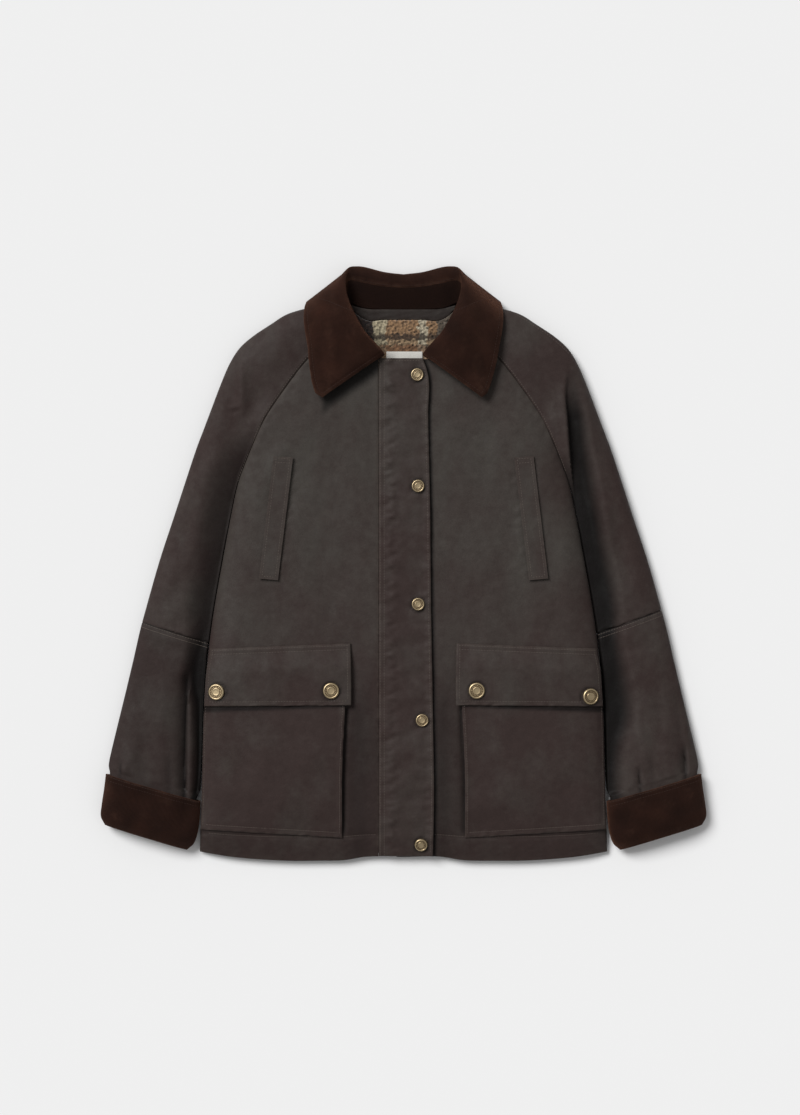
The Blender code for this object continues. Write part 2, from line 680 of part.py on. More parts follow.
def main():
    for old in list(bpy.data.objects):
        bpy.data.objects.remove(old, do_unlink=True)
    rows = np.sort([HEM_Y, *HEM_ROWS, *UPPER_SLEEVE.at("iy", SLEEVE_ROWS), NECK_Y])
    front("front_right", rows, -PLACKET_SEAM_X, mirror=True)
    front("front_left", rows, UNDERLAP_X, mirror=False)
    back()
    for side, mirror in (("right", True), ("left", False)):
        upper_sleeve(f"sleeve_front_{side}", True, mirror)
        upper_sleeve(f"sleeve_back_{side}", False, mirror)
        lower_sleeve(f"sleeve_lower_{side}", mirror)
        cuff(f"cuff_{side}", mirror)
        pocket(f"pocket_{side}", mirror)
        flap(f"pocket_flap_{side}", mirror)
        welt(f"chest_welt_{side}", mirror)
    collar()
    neck_facing()
    neck_lining()
    neck_label()
    placket()
    snaps()


main()
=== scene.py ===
"""The looks of a short waxed cotton jacket lying on its back with its front up.

Lengths are in millimetres here and become metres when a mesh is made. +X is to the right when looking
down on the jacket, +Y points from hem to collar and +Z is up. Tables and functions describe the +X half of
the cut pieces, and the -X half is its mirror image; creases are placed on the whole jacket.
"""

import bmesh
import bpy
import numpy as np
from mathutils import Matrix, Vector
from mathutils.bvhtree import BVHTree


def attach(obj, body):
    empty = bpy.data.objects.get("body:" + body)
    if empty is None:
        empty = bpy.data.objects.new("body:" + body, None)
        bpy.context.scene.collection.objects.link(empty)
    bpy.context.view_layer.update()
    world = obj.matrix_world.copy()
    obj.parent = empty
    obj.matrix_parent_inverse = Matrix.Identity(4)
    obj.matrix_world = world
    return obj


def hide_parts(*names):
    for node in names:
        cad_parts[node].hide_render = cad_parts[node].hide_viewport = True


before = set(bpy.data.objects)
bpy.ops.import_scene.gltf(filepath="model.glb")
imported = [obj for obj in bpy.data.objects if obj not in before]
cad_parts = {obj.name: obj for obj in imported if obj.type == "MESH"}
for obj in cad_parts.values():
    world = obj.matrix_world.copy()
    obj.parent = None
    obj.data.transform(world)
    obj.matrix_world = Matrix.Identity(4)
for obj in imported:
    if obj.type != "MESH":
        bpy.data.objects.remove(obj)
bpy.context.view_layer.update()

MM = 0.001
STEP = 2.3
UNDER_STEP = 9.0

# Cloth
CLOTH = 1.6
CORDUROY = 2.4
FLEECE = 3.2
LABEL = 0.8
GAP = 0.3
SLOTS = {CLOTH: "waxed_cotton", CORDUROY: "corduroy", FLEECE: "fleece", LABEL: "label"}

# Side folds and crease
SIDE_FOLD = 9.0
SIDE_RADIUS = 34.0
UNDER_RADIUS = 22.0
UNDERARM_Y = 80.0
CREASE_RUN = 90.0
UNDER_CREASE_RUN = 60.0
SEAM_LEVEL = 21.0
SLEEVE_INNER_FOLD = 6.0
SLEEVE_INNER_RADIUS = 45.0
SLEEVE_OUTER_RADIUS = 38.0

# Front
NECK_Y = 236.5
BACK_NECK_Y = 296.0
PLACKET_SEAM_X = -29.2
PLACKET_TOP_Y = 238.0
PLACKET_BOTTOM_Y = -340.5
PLACKET_LIFT = 2.3
PLACKET_LIFT_RUN = 18.0
UNDERLAP_X = -8.0
HEM_FADE = 96.0
HEM_Y = -346.0
HEM_SEAM = 28.5
FRONT_TOP_Y = 281.0

# Pocket and flap heights above the front, to their outer faces
POCKET_EDGE = 2.0
POCKET_FULL = 5.4
FLAP_EDGE = 2.1
FLAP_FULL = 7.6
POCKET_TOP_Y = -128.0
POCKET_BOTTOM_Y = -318.4
FLAP_TOP_Y = -92.4
FLAP_BOTTOM_Y = -164.0

# Collar fall under the back
NECK_LIFT = 3.2
NECK_LIFT_START_Y = 250.0
NECK_LIFT_RUN = 22.0
STAND_SHARE = 0.8
ROLL_STAND_SHARE = 0.25
ROLL_FALL_SHARE = 0.16
FALL_BULGE = 1.6

# Snap caps: diameters, height, and how finely they are made
PLACKET_SNAP = 15.0
POCKET_SNAP = 19.0
SNAP_HEIGHT = 2.8
CAP_SIDES = 48
CAP_DOTS = 18

# Looks
BROWN = (0.0345, 0.0224, 0.0202)
BLOOM = (0.0482, 0.0418, 0.0364)
RUBBED = (0.070, 0.054, 0.045)
WEAVE = 523.0
WALE = 1.4

# The collar's leaves: how much higher they stand at their edges, how far their tips spread on each side,
# and the leaf's lower edge on the front, below which a shadow is painted onto the front
LEAF_LIFT = 8.0
TIP_SPREAD = {-1: (3.5, 8.0, 6.5, 0.0), 1: (0.5, 2.6, 2.0, 0.0)}
LEAF_START = (-27.0, 238.0)
LEAF_END = (-92.0, 191.0)
LEAF_EDGE = 79.0

# Where the fleece starts, out of sight, and the stitched seam over the left shoulder
LINING_BOTTOM_Y = 212.0
OVERARM_SEAM = ((115, 300), (149, 278), (171, 263), (187, 249), (193, 243))

# How much higher the elbow seam is on one side, and how far the lower sleeve starts under the upper one
ELBOW_RISE = {"right": 0.0, "left": 10.5}
ELBOW_TUCK = 2.6

# The level that the valley beside the body is pressed to, and the fold at the left shoulder: its path, and
# how deep it falls, how wide it lies flat and how wide it rises again along that path
VALLEY_LEVEL = {"right": 7.5, "left": 11.0}
SHOULDER_FOLD = ((189.7, 224), (187, 197), (189.3, 170), (192, 132), (194.5, 104), (197.5, 76), (201.5, 52))
FOLD_DROPS = (0, 4, 9, 10, 10, 10, 10)
FOLD_WIDTHS = (5, 10, 12, 12, 14, 15, 16)
FOLD_RAMPS = (6, 9, 10, 11, 12, 13, 14)

# Creases running up from the cuffs: path, depth, reach to the left and to the right, and how dark the painted
# shade along them is.
CUFF_CREASES = {
    "right": (
        (((-251.5, -130), (-253, -180), (-254, -225), (-254.3, -278)), 5.0, 7.5, 2.2, 0.85),
        (((-328.5, -232), (-328.8, -250)), 1.6, 2.5, 1.5, 0.5),
        (((-272, -225), (-272, -275)), 1.2, 6.0, 4.0, 0.25),
    ),
    "left": (
        (((273.5, -238), (275.0, -268)), 2.4, 3.6, 1.6, 0.6),
        (((326.5, -216), (328.0, -252)), 3.6, 5.0, 2.0, 0.7),
        (((316.0, -150), (321, -190), (325, -216)), 1.4, 9.0, 6.0, 0.15),
        (((286.0, -226), (290, -262)), 1.2, 5.0, 3.0, 0.2),
    ),
}

# Light and view, in metres
FLOOR_Z = -0.0002
SUN_STRENGTH = 2.84
SKY_STRENGTH = 0.37
CAMERA_PLACE = (-0.0041, 0.0070, 3.074)


class Table:
    """Sizes in rows, read between the rows along a smooth curve. The first column is the key."""

    def __init__(self, names, rows):
        names = names.split()
        self.columns = dict(zip(names, np.array(rows, dtype=float).T))
        self.keys = self.columns[names[0]]

    def at(self, name, key):
        keys, values = self.keys, self.columns[name]
        slopes = np.gradient(values, keys)
        key = np.clip(key, keys[0], keys[-1])
        i = np.clip(np.searchsorted(keys, key, side="right") - 1, 0, len(keys) - 2)
        step = keys[i + 1] - keys[i]
        t = (key - keys[i]) / step
        rise = values[i + 1] - values[i]
        bend_in = slopes[i] * step - rise
        bend_out = rise - slopes[i + 1] * step
        return values[i] + rise * t + t * (1 - t) * ((1 - t) * bend_in + t * bend_out)


# The front and back at height y: half width at the side fold, and the level of the front's middle.
BODY = Table("y half level", (
    (HEM_Y, 237.6, 9.5),
    (-320, 236.8, 15.5),
    (-274, 235.0, 20.0),
    (-228, 233.7, 22.0),
    (-181, 232.4, 22.6),
    (-135, 230.0, 22.8),
    (-89, 225.6, 23.0),
    (-42, 218.7, 23.0),
    (4, 210.5, 23.0),
    (50, 202.0, 23.0),
    (80, 196.0, 23.0),
))

# The valley between body and sleeve: how wide it lies flat, how wide it rises, and how deep it gets; the same
# sizes set where painted shade darkens it and how much.
VALLEY = {
    "right": Table("y flat ramp share", (
        (-300, 4, 4, 1.0), (-200, 5, 4, 1.0), (-165, 7, 6, 1.0), (-135, 13, 9, 1.0), (-89, 9, 12, 0.9),
        (-42, 6, 22, 0.8), (20, 3, 32, 0.7), (74, 1, 36, 0.65), (120, 1, 32, 0.5), (165, 1, 20, 0.0),
        (290, 0, 5, 0.0),
    )),
    "left": Table("y flat ramp share", (
        (-300, 4, 12, 0.85), (-235, 5, 13, 1.0), (-210, 9, 14, 1.0), (-182, 18, 14, 1.0), (-135, 15, 16, 1.0),
        (-89, 14, 12, 1.0), (-42, 18, 13, 1.0), (20, 17, 15, 1.0), (74, 15, 15, 1.0),
        (100, 6, 12, 0.6), (125, 4, 9, 0.0), (290, 0, 5, 0.0),
    )),
}

# The raglan seam at height y, on the front and on the back.
RAGLAN = Table("y front back level", (
    (80, 196.0, 196.0, 23.0),
    (97, 191.5, 191.5, 23.0),
    (118, 183.5, 183.5, 23.0),
    (143, 173.0, 173.0, 23.0),
    (168, 161.0, 161.0, 23.0),
    (204, 137.0, 137.0, 22.6),
    (223.5, 122.6, 122.6, 22.3),
    (239.7, 108.6, 108.6, 22.0),
    (262, 83.0, 88.0, 21.6),
    (281, 60.0, 73.0, 21.0),
    (296, 52.0, 61.5, 21.0),
))

# The front's neckline above the centre.
NECKLINE = Table("y x", ((238, 28.5), (251.5, 40.0), (267, 52.0), (281, 56.0)))

# The hem's lowest line across the front.
HEM = Table("x y", (
    (0, -341.6), (46, -341.6), (68, -345.2), (100, HEM_Y), (136, HEM_Y), (171, -344.2), (199, -341.6),
    (238, -335.4),
))

# The placket's free edge.
PLACKET = Table("y edge", (
    (PLACKET_BOTTOM_Y, 34.2), (-274, 35.4), (-181, 34.2), (-42, 31.9), (74, 30.7), (173, 28.6), (221, 28.0),
    (PLACKET_TOP_Y, 22.5),
))

# The upper sleeve from neck to elbow: where its rows start up the seam, on the front and on the back, where
# they end at the outer edge, and the level between.
UPPER_SLEEVE = Table("row iy by ox oy level", (
    (0, 281.0, 296.0, 73.0, 299.8, 21.0),
    (1, 261.2, 267.1, 104.0, 298.5, 21.6),
    (2, 238.2, 238.2, 134.0, 290.8, 22.0),
    (3, 221.5, 221.5, 155.4, 277.8, 22.3),
    (4, 204.0, 204.0, 176.0, 264.0, 22.5),
    (5, 186.0, 186.0, 191.4, 250.0, 22.6),
    (6, 168.0, 168.0, 203.0, 231.4, 22.6),
    (7, 143.0, 143.0, 213.0, 208.0, 22.6),
    (8, 118.0, 118.0, 222.5, 183.0, 22.5),
    (9, 98.0, 98.0, 232.3, 157.0, 22.3),
    (10, 80.0, 80.0, 241.0, 134.0, 22.0),
    (11, 50.0, 50.0, 252.0, 101.0, 21.6),
    (12, 4.0, 4.0, 267.0, 55.0, 21.0),
    (13, -42.0, -42.0, 285.0, 0.0, 20.5),
    (14, -92.0, -92.0, 304.2, -68.0, 20.0),
))

# The lower sleeve from elbow to cuff, with the heights of its underside and of its two folds. Its end is
# held up inside the cuff.
LOWER_SLEEVE = Table("row ix iy ox oy level under inner_fold outer_fold", (
    (-1, 219.5, -47.6, 286.9, -6.8, 20.4, 0.0, 6.0, 9.0),
    (0, 226.5, -92.6, 304.4, -68.6, 20.0, 0.0, 6.0, 9.0),
    (1, 230.9, -137.0, 314.5, -112.0, 20.0, 0.0, 6.0, 9.0),
    (2, 233.4, -183.0, 325.0, -156.0, 20.0, 0.0, 6.0, 9.0),
    (3, 234.6, -230.0, 336.5, -203.0, 20.4, 0.0, 6.0, 9.0),
    (4, 236.6, -262.0, 342.8, -232.0, 20.6, 0.4, 7.5, 10.5),
    (5, 240.4, -273.0, 341.5, -243.5, 20.4, 3.3, 12.0, 13.0),
    (6, 241.8, -287.0, 342.5, -257.5, 20.2, 3.4, 12.5, 13.5),
))

# The turned-back cuff from its upper edge to the fold at the wrist.
CUFF = Table("row ix iy ox oy level under inner_fold outer_fold", (
    (0, 236.0, -276.5, 346.2, -244.5, 27.0, 0.0, 12.5, 12.5),
    (1, 237.0, -294.0, 348.3, -262.0, 27.0, 0.0, 12.5, 12.5),
    (2, 239.0, -311.0, 351.0, -280.0, 26.5, 0.0, 12.5, 12.5),
    (3, 243.5, -325.0, 352.1, -293.5, 25.0, 0.0, 12.5, 12.5),
    (4, 252.0, -333.0, 347.5, -303.8, 21.0, 0.5, 11.0, 11.0),
))

# Sections across the collar from its front end round to the centre back: the seam at the neck (n), the
# roll line (r) with the levels either side of it (az on the stand, bz on the fall) and the outer edge (e).
COLLAR = Table("row nx ny nz az rx ry rz bz ex ey ez", (
    (0, 26.8, 238.2, 23.0, 25.8, 22.6, 241.5, 29.4, 33.0, 90.2, 192.0, 26.0),
    (1, 32.0, 245.0, 23.2, 28.6, 26.3, 246.4, 33.0, 36.4, 94.2, 197.5, 26.0),
    (2, 38.8, 252.6, 23.4, 31.4, 33.0, 254.0, 34.5, 38.0, 99.8, 211.0, 26.0),
    (3, 50.6, 268.0, 23.4, 32.4, 45.6, 268.5, 36.0, 39.5, 107.5, 236.0, 26.0),
    (4, 58.6, 281.8, 23.4, 31.4, 56.5, 288.0, 35.0, 38.5, 113.0, 263.0, 25.8),
    (5, 65.5, 291.5, 22.5, 29.4, 63.6, 304.3, 32.0, 35.0, 115.4, 281.0, 24.2),
    (6, 69.0, 297.0, 18.5, 26.4, 67.3, 320.0, 28.4, 30.4, 115.4, 293.0, 19.5),
    (7, 70.5, 301.8, 13.0, 21.4, 67.0, 334.0, 22.0, 22.4, 114.0, 301.8, 12.5),
    (8, 67.0, 303.8, 9.4, 17.0, 63.0, 344.0, 13.5, 8.4, 110.0, 305.5, 6.4),
    (9, 61.0, 303.8, 7.8, 14.4, 55.0, 346.2, 8.0, 1.0, 90.0, 299.4, 0.3),
    (10, 47.0, 298.2, 7.2, 13.4, 44.0, 345.2, 6.8, 0.0, 66.0, 289.0, 0.0),
    (11, 24.0, 296.6, 7.0, 13.2, 22.0, 339.6, 6.6, 0.0, 33.0, 283.0, 0.0),
    (12, 0.0, 296.6, 7.0, 13.2, 0.0, 337.0, 6.6, 0.0, 0.0, 281.0, 0.0),
))

# The facing inside the back neck, across from the centre.
FACING = Table("x top bottom", (
    (0, 296.1, 284.6), (24, 296.1, 284.4), (42, 296.6, 283.8), (51.5, 298.4, 288.6), (60.5, 301.0, 296.6),
))

# Corners of flat trims on the front: across from the centre, up from the middle.
WELT_TOP = ((128.0, 122.8), (150.4, 124.5))
WELT_BOTTOM = ((145.4, -19.3), (167.4, -17.3))

# A flap from its seam to its free edge, and a pocket from under the flap to its bottom: inner edge,
# and how far its outer edge stops short of the side fold, as an angle round that fold.
FLAP_SIDES = Table("y inner", ((FLAP_BOTTOM_Y, 60.6), (-150.0, 60.4), (FLAP_TOP_Y, 61.3)))
POCKET_SIDES = Table("y inner", (
    (POCKET_BOTTOM_Y, 71.4), (-250, 71.4), (-165, 67.8), (POCKET_TOP_Y, 66.0),
))
FLAP_OUTER_ANGLE = np.radians(26)
POCKET_OUTER_ANGLE = np.radians(18)
FLAP_OUTER_DROP = 6.4
POCKET_OUTER_RISE = 9.8

PLACKET_SNAPS = ((15.8, 218.8), (16.8, 89.9), (16.8, -47.0), (21.5, -181.5), (20.3, -326.5))
POCKET_SNAPS = {"right": ((215.2, -148.7), (83.8, -147.1)), "left": ((84.6, -147.0), (215.2, -153.9))}

# Folds and puckers on each piece: width, heights along the path, and the path. Below 0 is a trough.
FOLDS = {
    "front": (
        (12, (0, -1.3, -0.6, 0), ((-142, 158), (-160, 128), (-172, 104), (-187, 80))),
        (9, (0, 1.1, 0.7, 0), ((-128, 150), (-148, 116), (-160, 92), (-176, 66))),
        (16, (0, -1.0, 0), ((-60, 175), (-76, 120), (-84, 60))),
        (13, (0, 0.7, 0), ((-96, 60), (-108, 0), (-112, -70))),
        (15, (0, -0.8, 0), ((-190, 40), (-184, -30), (-190, -90))),
        (14, (0, -0.9, 0), ((66, 150), (84, 90), (88, 30))),
        (12, (0, 0.7, 0), ((52, 60), (60, -20), (58, -100))),
        (10, (0, -0.9, 0), ((120, 190), (100, 150), (92, 110))),
        (12, (0, -0.9, -0.4, 0), ((180, 110), (170, 60), (176, -20), (184, -90))),
        (10, (0, 0.8, 0), ((192, 60), (188, -10), (196, -80))),
        (7, (0, -0.8, 0), ((-58, -200), (-56, -260), (-58, -320))),
        (7, (0, -0.7, 0), ((52, -180), (50, -250), (52, -310))),
    ),
    "sleeve_front_right": (
        (6, (0, 1.7, 0.8), ((-188, 250), (-189, 215), (-187, 178))),
        (13, (-0.4, -1.5, -1.9, 0), ((-196, 244), (-199, 200), (-201, 160), (-208, 120))),
        (2.6, (0, 0.9, 0), ((-204, 179.5), (-197, 180.8), (-188, 181))),
        (2.6, (0, -0.9, 0), ((-204, 176), (-197, 177), (-188, 177.5))),
        (12, (0, -1.6, -1.0, 0), ((-160, 215), (-172, 190), (-184, 160), (-190, 130))),
        (12, (0, 1.0, 0), ((-222, 110), (-236, 50), (-246, -10))),
        (13, (0, -1.2, 0), ((-236, 90), (-252, 30), (-262, -30))),
        (11, (0, 0.9, 0), ((-256, 40), (-268, -10), (-278, -60))),
        (9, (0, -0.8, 0), ((-232, -70), (-256, -66), (-280, -72))),
        (12, (0, 0.9, 0), ((-120, 262), (-150, 240), (-172, 214))),
    ),
    "sleeve_front_left": (
        (13, (0, -0.8, 0), ((162, 222), (170, 195), (178, 160))),
        (9, (0, 0.9, 0), ((206, 214), (212, 180), (220, 140))),
        (10, (0, 1.1, 0), ((222, 120), (232, 60), (244, 0))),
        (12, (0, -1.3, 0), ((236, 90), (250, 30), (262, -40))),
        (10, (0, 0.9, 0), ((262, 30), (272, -20), (280, -66))),
        (8, (0, -0.7, 0), ((238, -72), (262, -66), (286, -70))),
        (12, (0, 0.9, 0), ((116, 268), (146, 244), (166, 220))),
    ),
    "sleeve_lower_right": (
        (3.0, (0, 0.5, 0.5, 0.4), ((-246, -195), (-247, -230), (-247, -262), (-247, -276))),
        (4.0, (0, 1.0, 0.4), ((-323, -226), (-323.5, -240), (-323, -252))),
        (13, (0, -1.2, -1.4, -0.6), ((-300, -110), (-304, -160), (-303, -205), (-300, -252))),
        (10, (0, 1.1, 0.8, 0), ((-276, -130), (-281, -180), (-284, -225), (-284, -262))),
        (9, (0, 0.8, 0), ((-308, -190), (-314, -220), (-316, -248))),
        (8, (0, -0.8, 0), ((-236, -108), (-262, -100), (-292, -96))),
    ),
    "sleeve_lower_left": (
        (7, (0, 1.1, 0.6), ((266, -168), (275, -200), (284, -232))),
        (6, (0, 1.0, 0.5), ((324, -160), (328, -190), (332.5, -226))),
        (10, (0, -1.0, 0), ((290, -120), (296, -170), (300, -220))),
        (9, (0, 0.9, 0.6), ((300, -180), (306, -220), (308, -250))),
        (8, (0, -0.8, 0), ((240, -106), (268, -98), (298, -94))),
    ),
    "cuff_right": (
        (6, (-0.8, -1.0, 0), ((-252, -276), (-253, -292), (-254, -310))),
        (5, (-0.6, -0.4, 0), ((-329, -252), (-330, -266), (-331, -280))),
        (16, (0, 0.8, 0), ((-290, -262), (-292, -285), (-296, -308))),
    ),
    "cuff_left": (
        (6, (-0.8, -0.8, 0), ((274, -270), (275, -284), (277, -300))),
        (6, (-0.6, -0.5, 0), ((328, -250), (330, -268), (332, -284))),
        (16, (0, 0.8, 0), ((300, -258), (304, -280), (308, -302))),
    ),
}

# Plaid of the fleece: edges of its upright bands with their colours, then of its level ones. The dark
# upright band at the left end, out to -36, is painted shadow cast by the collar's roll.
DARK = (0.030, 0.017, 0.012)
CREAM = (0.42, 0.36, 0.24)
TAN = (0.285, 0.168, 0.086)
PALE = (0.46, 0.40, 0.29)
RUST = (0.165, 0.078, 0.038)
TWEED = (0.11, 0.085, 0.062)
UPRIGHT_BANDS = ((-200, DARK), (-36, CREAM), (-20, TAN), (17, PALE), (27, TAN), (39, TWEED), (61, DARK))
LEVEL_BANDS = ((200, RUST, 0.75), (254.6, CREAM, 0.25), (260.4, DARK, 0.80), (267.0, CREAM, 0.0))


def smoothstep(t):
    t = np.clip(t, 0, 1)
    return t * t * (3 - 2 * t)


def bell(distance, width):
    """1 at no distance, falling to nearly 0 at twice the width."""
    return np.exp(-(distance / width) ** 2)


def rounded(distance, radius):
    """How far a quarter ellipse has risen at this distance in from its edge, from 0 to 1."""
    t = np.clip(distance / radius, 0, 1)
    return np.sqrt(np.maximum(1 - (1 - t) ** 2, 0))


def body_half(y):
    """Half width of the front: the side fold below the underarm, the raglan seam above it."""
    return np.where(y <= UNDERARM_Y, BODY.at("half", y), RAGLAN.at("front", y))


def back_half(y):
    return np.where(y <= UNDERARM_Y, BODY.at("half", y), RAGLAN.at("back", y))


def body_level(y):
    return np.where(y <= UNDERARM_Y, BODY.at("level", y), RAGLAN.at("level", y))


def crease(y):
    """0 on the side folds below the underarm, 1 on the seam well above it."""
    return smoothstep((y - UNDERARM_Y) / CREASE_RUN)


def under_crease(y):
    return smoothstep((y - UNDERARM_Y) / UNDER_CREASE_RUN)


def side_fold(y):
    """Height of the side fold, which comes down with the level near the hem."""
    return np.minimum(SIDE_FOLD, 0.5 * body_level(y))


def edge_level(y):
    """Height of the front's outer edge."""
    fold = side_fold(y) + GAP / 2
    return fold + (SEAM_LEVEL - 1.0 - fold) * crease(y)


def neck_lift(y):
    """How far the back is held off the surface by the collar under it."""
    return NECK_LIFT * smoothstep((y - NECK_LIFT_START_Y) / NECK_LIFT_RUN)


def under_edge_level(y):
    """Height of the back's outer edge."""
    return neck_lift(y) + (side_fold(y) - GAP / 2) * (1 - under_crease(y))


def hem_shift(x, y):
    """The hem's line, fading out upwards."""
    fade = np.clip(1 - (y - HEM_Y) / HEM_FADE, 0, 1) ** 2
    return (HEM.at("y", np.abs(x)) - HEM_Y) * fade


def ticks(start, end, step):
    """Places from start to end about a step apart, with closer ones at both ends."""
    count = max(int(round(abs(end - start) / step)), 2)
    even = np.linspace(start, end, count + 1)
    near = (even[1] - even[0]) * np.array([0.25, 0.55])
    return np.concatenate([even[:1], even[0] + near, even[1:-1], even[-1] - near[::-1], even[-1:]])


def spaced(width, start_radius, end_radius, steps):
    """Distances across a row, closer together where its edges round over."""
    start, flat, end = steps
    turn = np.linspace(0, np.pi / 2, start + 1) if start else np.array([np.pi / 2])
    rise = start_radius * (1 - np.cos(turn)) if start else np.array([0.0])
    fall_turn = np.linspace(np.pi / 2, 0, end + 1) if end else np.array([np.pi / 2])
    fall = width - end_radius * (1 - np.cos(fall_turn)) if end else np.array([width])
    middle = np.linspace(rise[-1], fall[0], flat + 1)
    return np.concatenate([rise[:-1], middle, fall[1:]])


def bowed_row(start, end, levels, radii, steps):
    """Points across one row of cloth. It runs from start to end in plan, and from the first level through
    the middle one to the last, rounding over within the two radii."""
    start, end = np.array(start, dtype=float), np.array(end, dtype=float)
    width = np.linalg.norm(end - start)
    first, second = (min(radius, 0.48 * width) for radius in radii)
    across = spaced(width, first, second, steps)
    low, middle, high = levels
    z = np.full(len(across), float(middle))
    if steps[0]:
        z -= (middle - low) * (1 - rounded(across, first))
    if steps[2]:
        z -= (middle - high) * (1 - rounded(width - across, second))
    plan = start + np.outer(across / width, end - start)
    return np.column_stack([plan, z])


def level_row(across, y, z):
    """Points across one row, each with its height y and level z."""
    return np.column_stack(np.broadcast_arrays(across, y, z))


def grid_normals(grid, ring=False):
    """Unit normals of a grid of points, rows by columns."""
    if ring:
        around = np.roll(grid, -1, axis=1) - np.roll(grid, 1, axis=1)
    else:
        around = np.gradient(grid, axis=1)
    along = np.gradient(grid, axis=0)
    normals = np.cross(around, along)
    return normals / np.linalg.norm(normals, axis=2, keepdims=True)


def flatten_edge(normals, column, keep):
    """Turns one edge's normals level where keep is 0, so that two edges meet face to face there."""
    edge = normals[:, column]
    edge[:, 2] *= keep
    normals[:, column] = edge / np.linalg.norm(edge, axis=1, keepdims=True)


# Relief


def ripple(x, y, wavelength, seed, stretch=1.0, waves=11):
    """Smooth unevenness about this wavelength, from -1 to 1 or so, longer along y by the stretch."""
    rng = np.random.default_rng(seed)
    total = np.zeros(np.shape(x))
    for _ in range(waves):
        angle = rng.uniform(0, np.pi)
        number = 2 * np.pi / (wavelength * rng.uniform(0.7, 1.5))
        phase = rng.uniform(0, 2 * np.pi)
        total += np.sin(number * (x * np.cos(angle) + y * np.sin(angle) / stretch) + phase)
    return total / np.sqrt(waves)


def run_along(line):
    """Distances along a line from its first point."""
    return np.concatenate([[0], np.cumsum(np.linalg.norm(np.diff(line, axis=0), axis=1))])


def smooth_path(path, count=20):
    """Points along a curve through the given ones."""
    path = np.array(path, dtype=float)
    if len(path) == 2:
        return path[0] + np.linspace(0, 1, count)[:, None] * (path[1] - path[0])
    reach = run_along(path)
    table = Table("r x y", [(r, *p) for r, p in zip(reach, path)])
    places = np.linspace(0, reach[-1], count)
    return np.column_stack([table.at("x", places), table.at("y", places)])


def fold_relief(x, y, width, depths, path):
    """One trough or ridge along a path: its height fades out either side, and changes along it."""
    path = smooth_path(path)
    height = np.zeros(np.shape(x))
    near = (
        (x > path[:, 0].min() - 3 * width) & (x < path[:, 0].max() + 3 * width)
        & (y > path[:, 1].min() - 3 * width) & (y < path[:, 1].max() + 3 * width)
    )
    if not near.any():
        return height
    px, py = x[near], y[near]
    best = np.full(px.shape, 1e9)
    where = np.zeros(px.shape)
    for i, (a, b) in enumerate(zip(path[:-1], path[1:])):
        run = b - a
        t = np.clip(((px - a[0]) * run[0] + (py - a[1]) * run[1]) / (run @ run), 0, 1)
        gap = (px - a[0] - t * run[0]) ** 2 + (py - a[1] - t * run[1]) ** 2
        closer = gap < best
        best = np.where(closer, gap, best)
        where = np.where(closer, (i + t) / (len(path) - 1), where)
    deep = np.interp(where, np.linspace(0, 1, len(depths)), depths)
    height[near] = deep * np.exp(-best / width ** 2)
    return height


def relief_of(name, x, y):
    """Height added to a piece by the folds placed on it, in the jacket's own coordinates."""
    height = np.zeros(np.shape(x))
    for width, depths, path in FOLDS.get(name, ()):
        height += fold_relief(x, y, width, depths, path)
    return height


def body_relief(x, y):
    """Unevenness of the fronts, shared by everything that lies on them."""
    height = 0.55 * ripple(x, y, 85, 11, 1.5) + 0.2 * ripple(x, y, 38, 12, 1.3)
    height += relief_of("front", x, y)
    return height * smoothstep((y - HEM_Y) / 25)


# Meshes


def arc_lengths(grid, axis):
    steps = np.linalg.norm(np.diff(grid, axis=axis), axis=2)
    zero = np.zeros_like(np.take(steps, [0], axis=axis))
    return np.cumsum(np.concatenate([zero, steps], axis=axis), axis=axis)


def edge_distance(grid, ring=False):
    """How far each point of a grid is from the cloth's nearest edge, along the cloth."""
    along = arc_lengths(grid, 0)
    nearest = np.minimum(along, along[-1:] - along)
    if not ring:
        across = arc_lengths(grid, 1)
        nearest = np.minimum(nearest, np.minimum(across, across[:, -1:] - across))
    return nearest


def cut_of(grid, ring=False):
    """Width, length and area in metres of the flat cloth a grid was laid from."""
    if ring:
        grid = np.concatenate([grid, grid[:, :1]], axis=1)
    width = arc_lengths(grid, 1)[:, -1].max()
    length = arc_lengths(grid, 0)[-1].max()
    sides = grid[1:, 1:] - grid[:-1, :-1], grid[1:, :-1] - grid[:-1, 1:]
    area = np.linalg.norm(np.cross(*sides), axis=2).sum() / 2
    return width * MM, length * MM, area * MM * MM


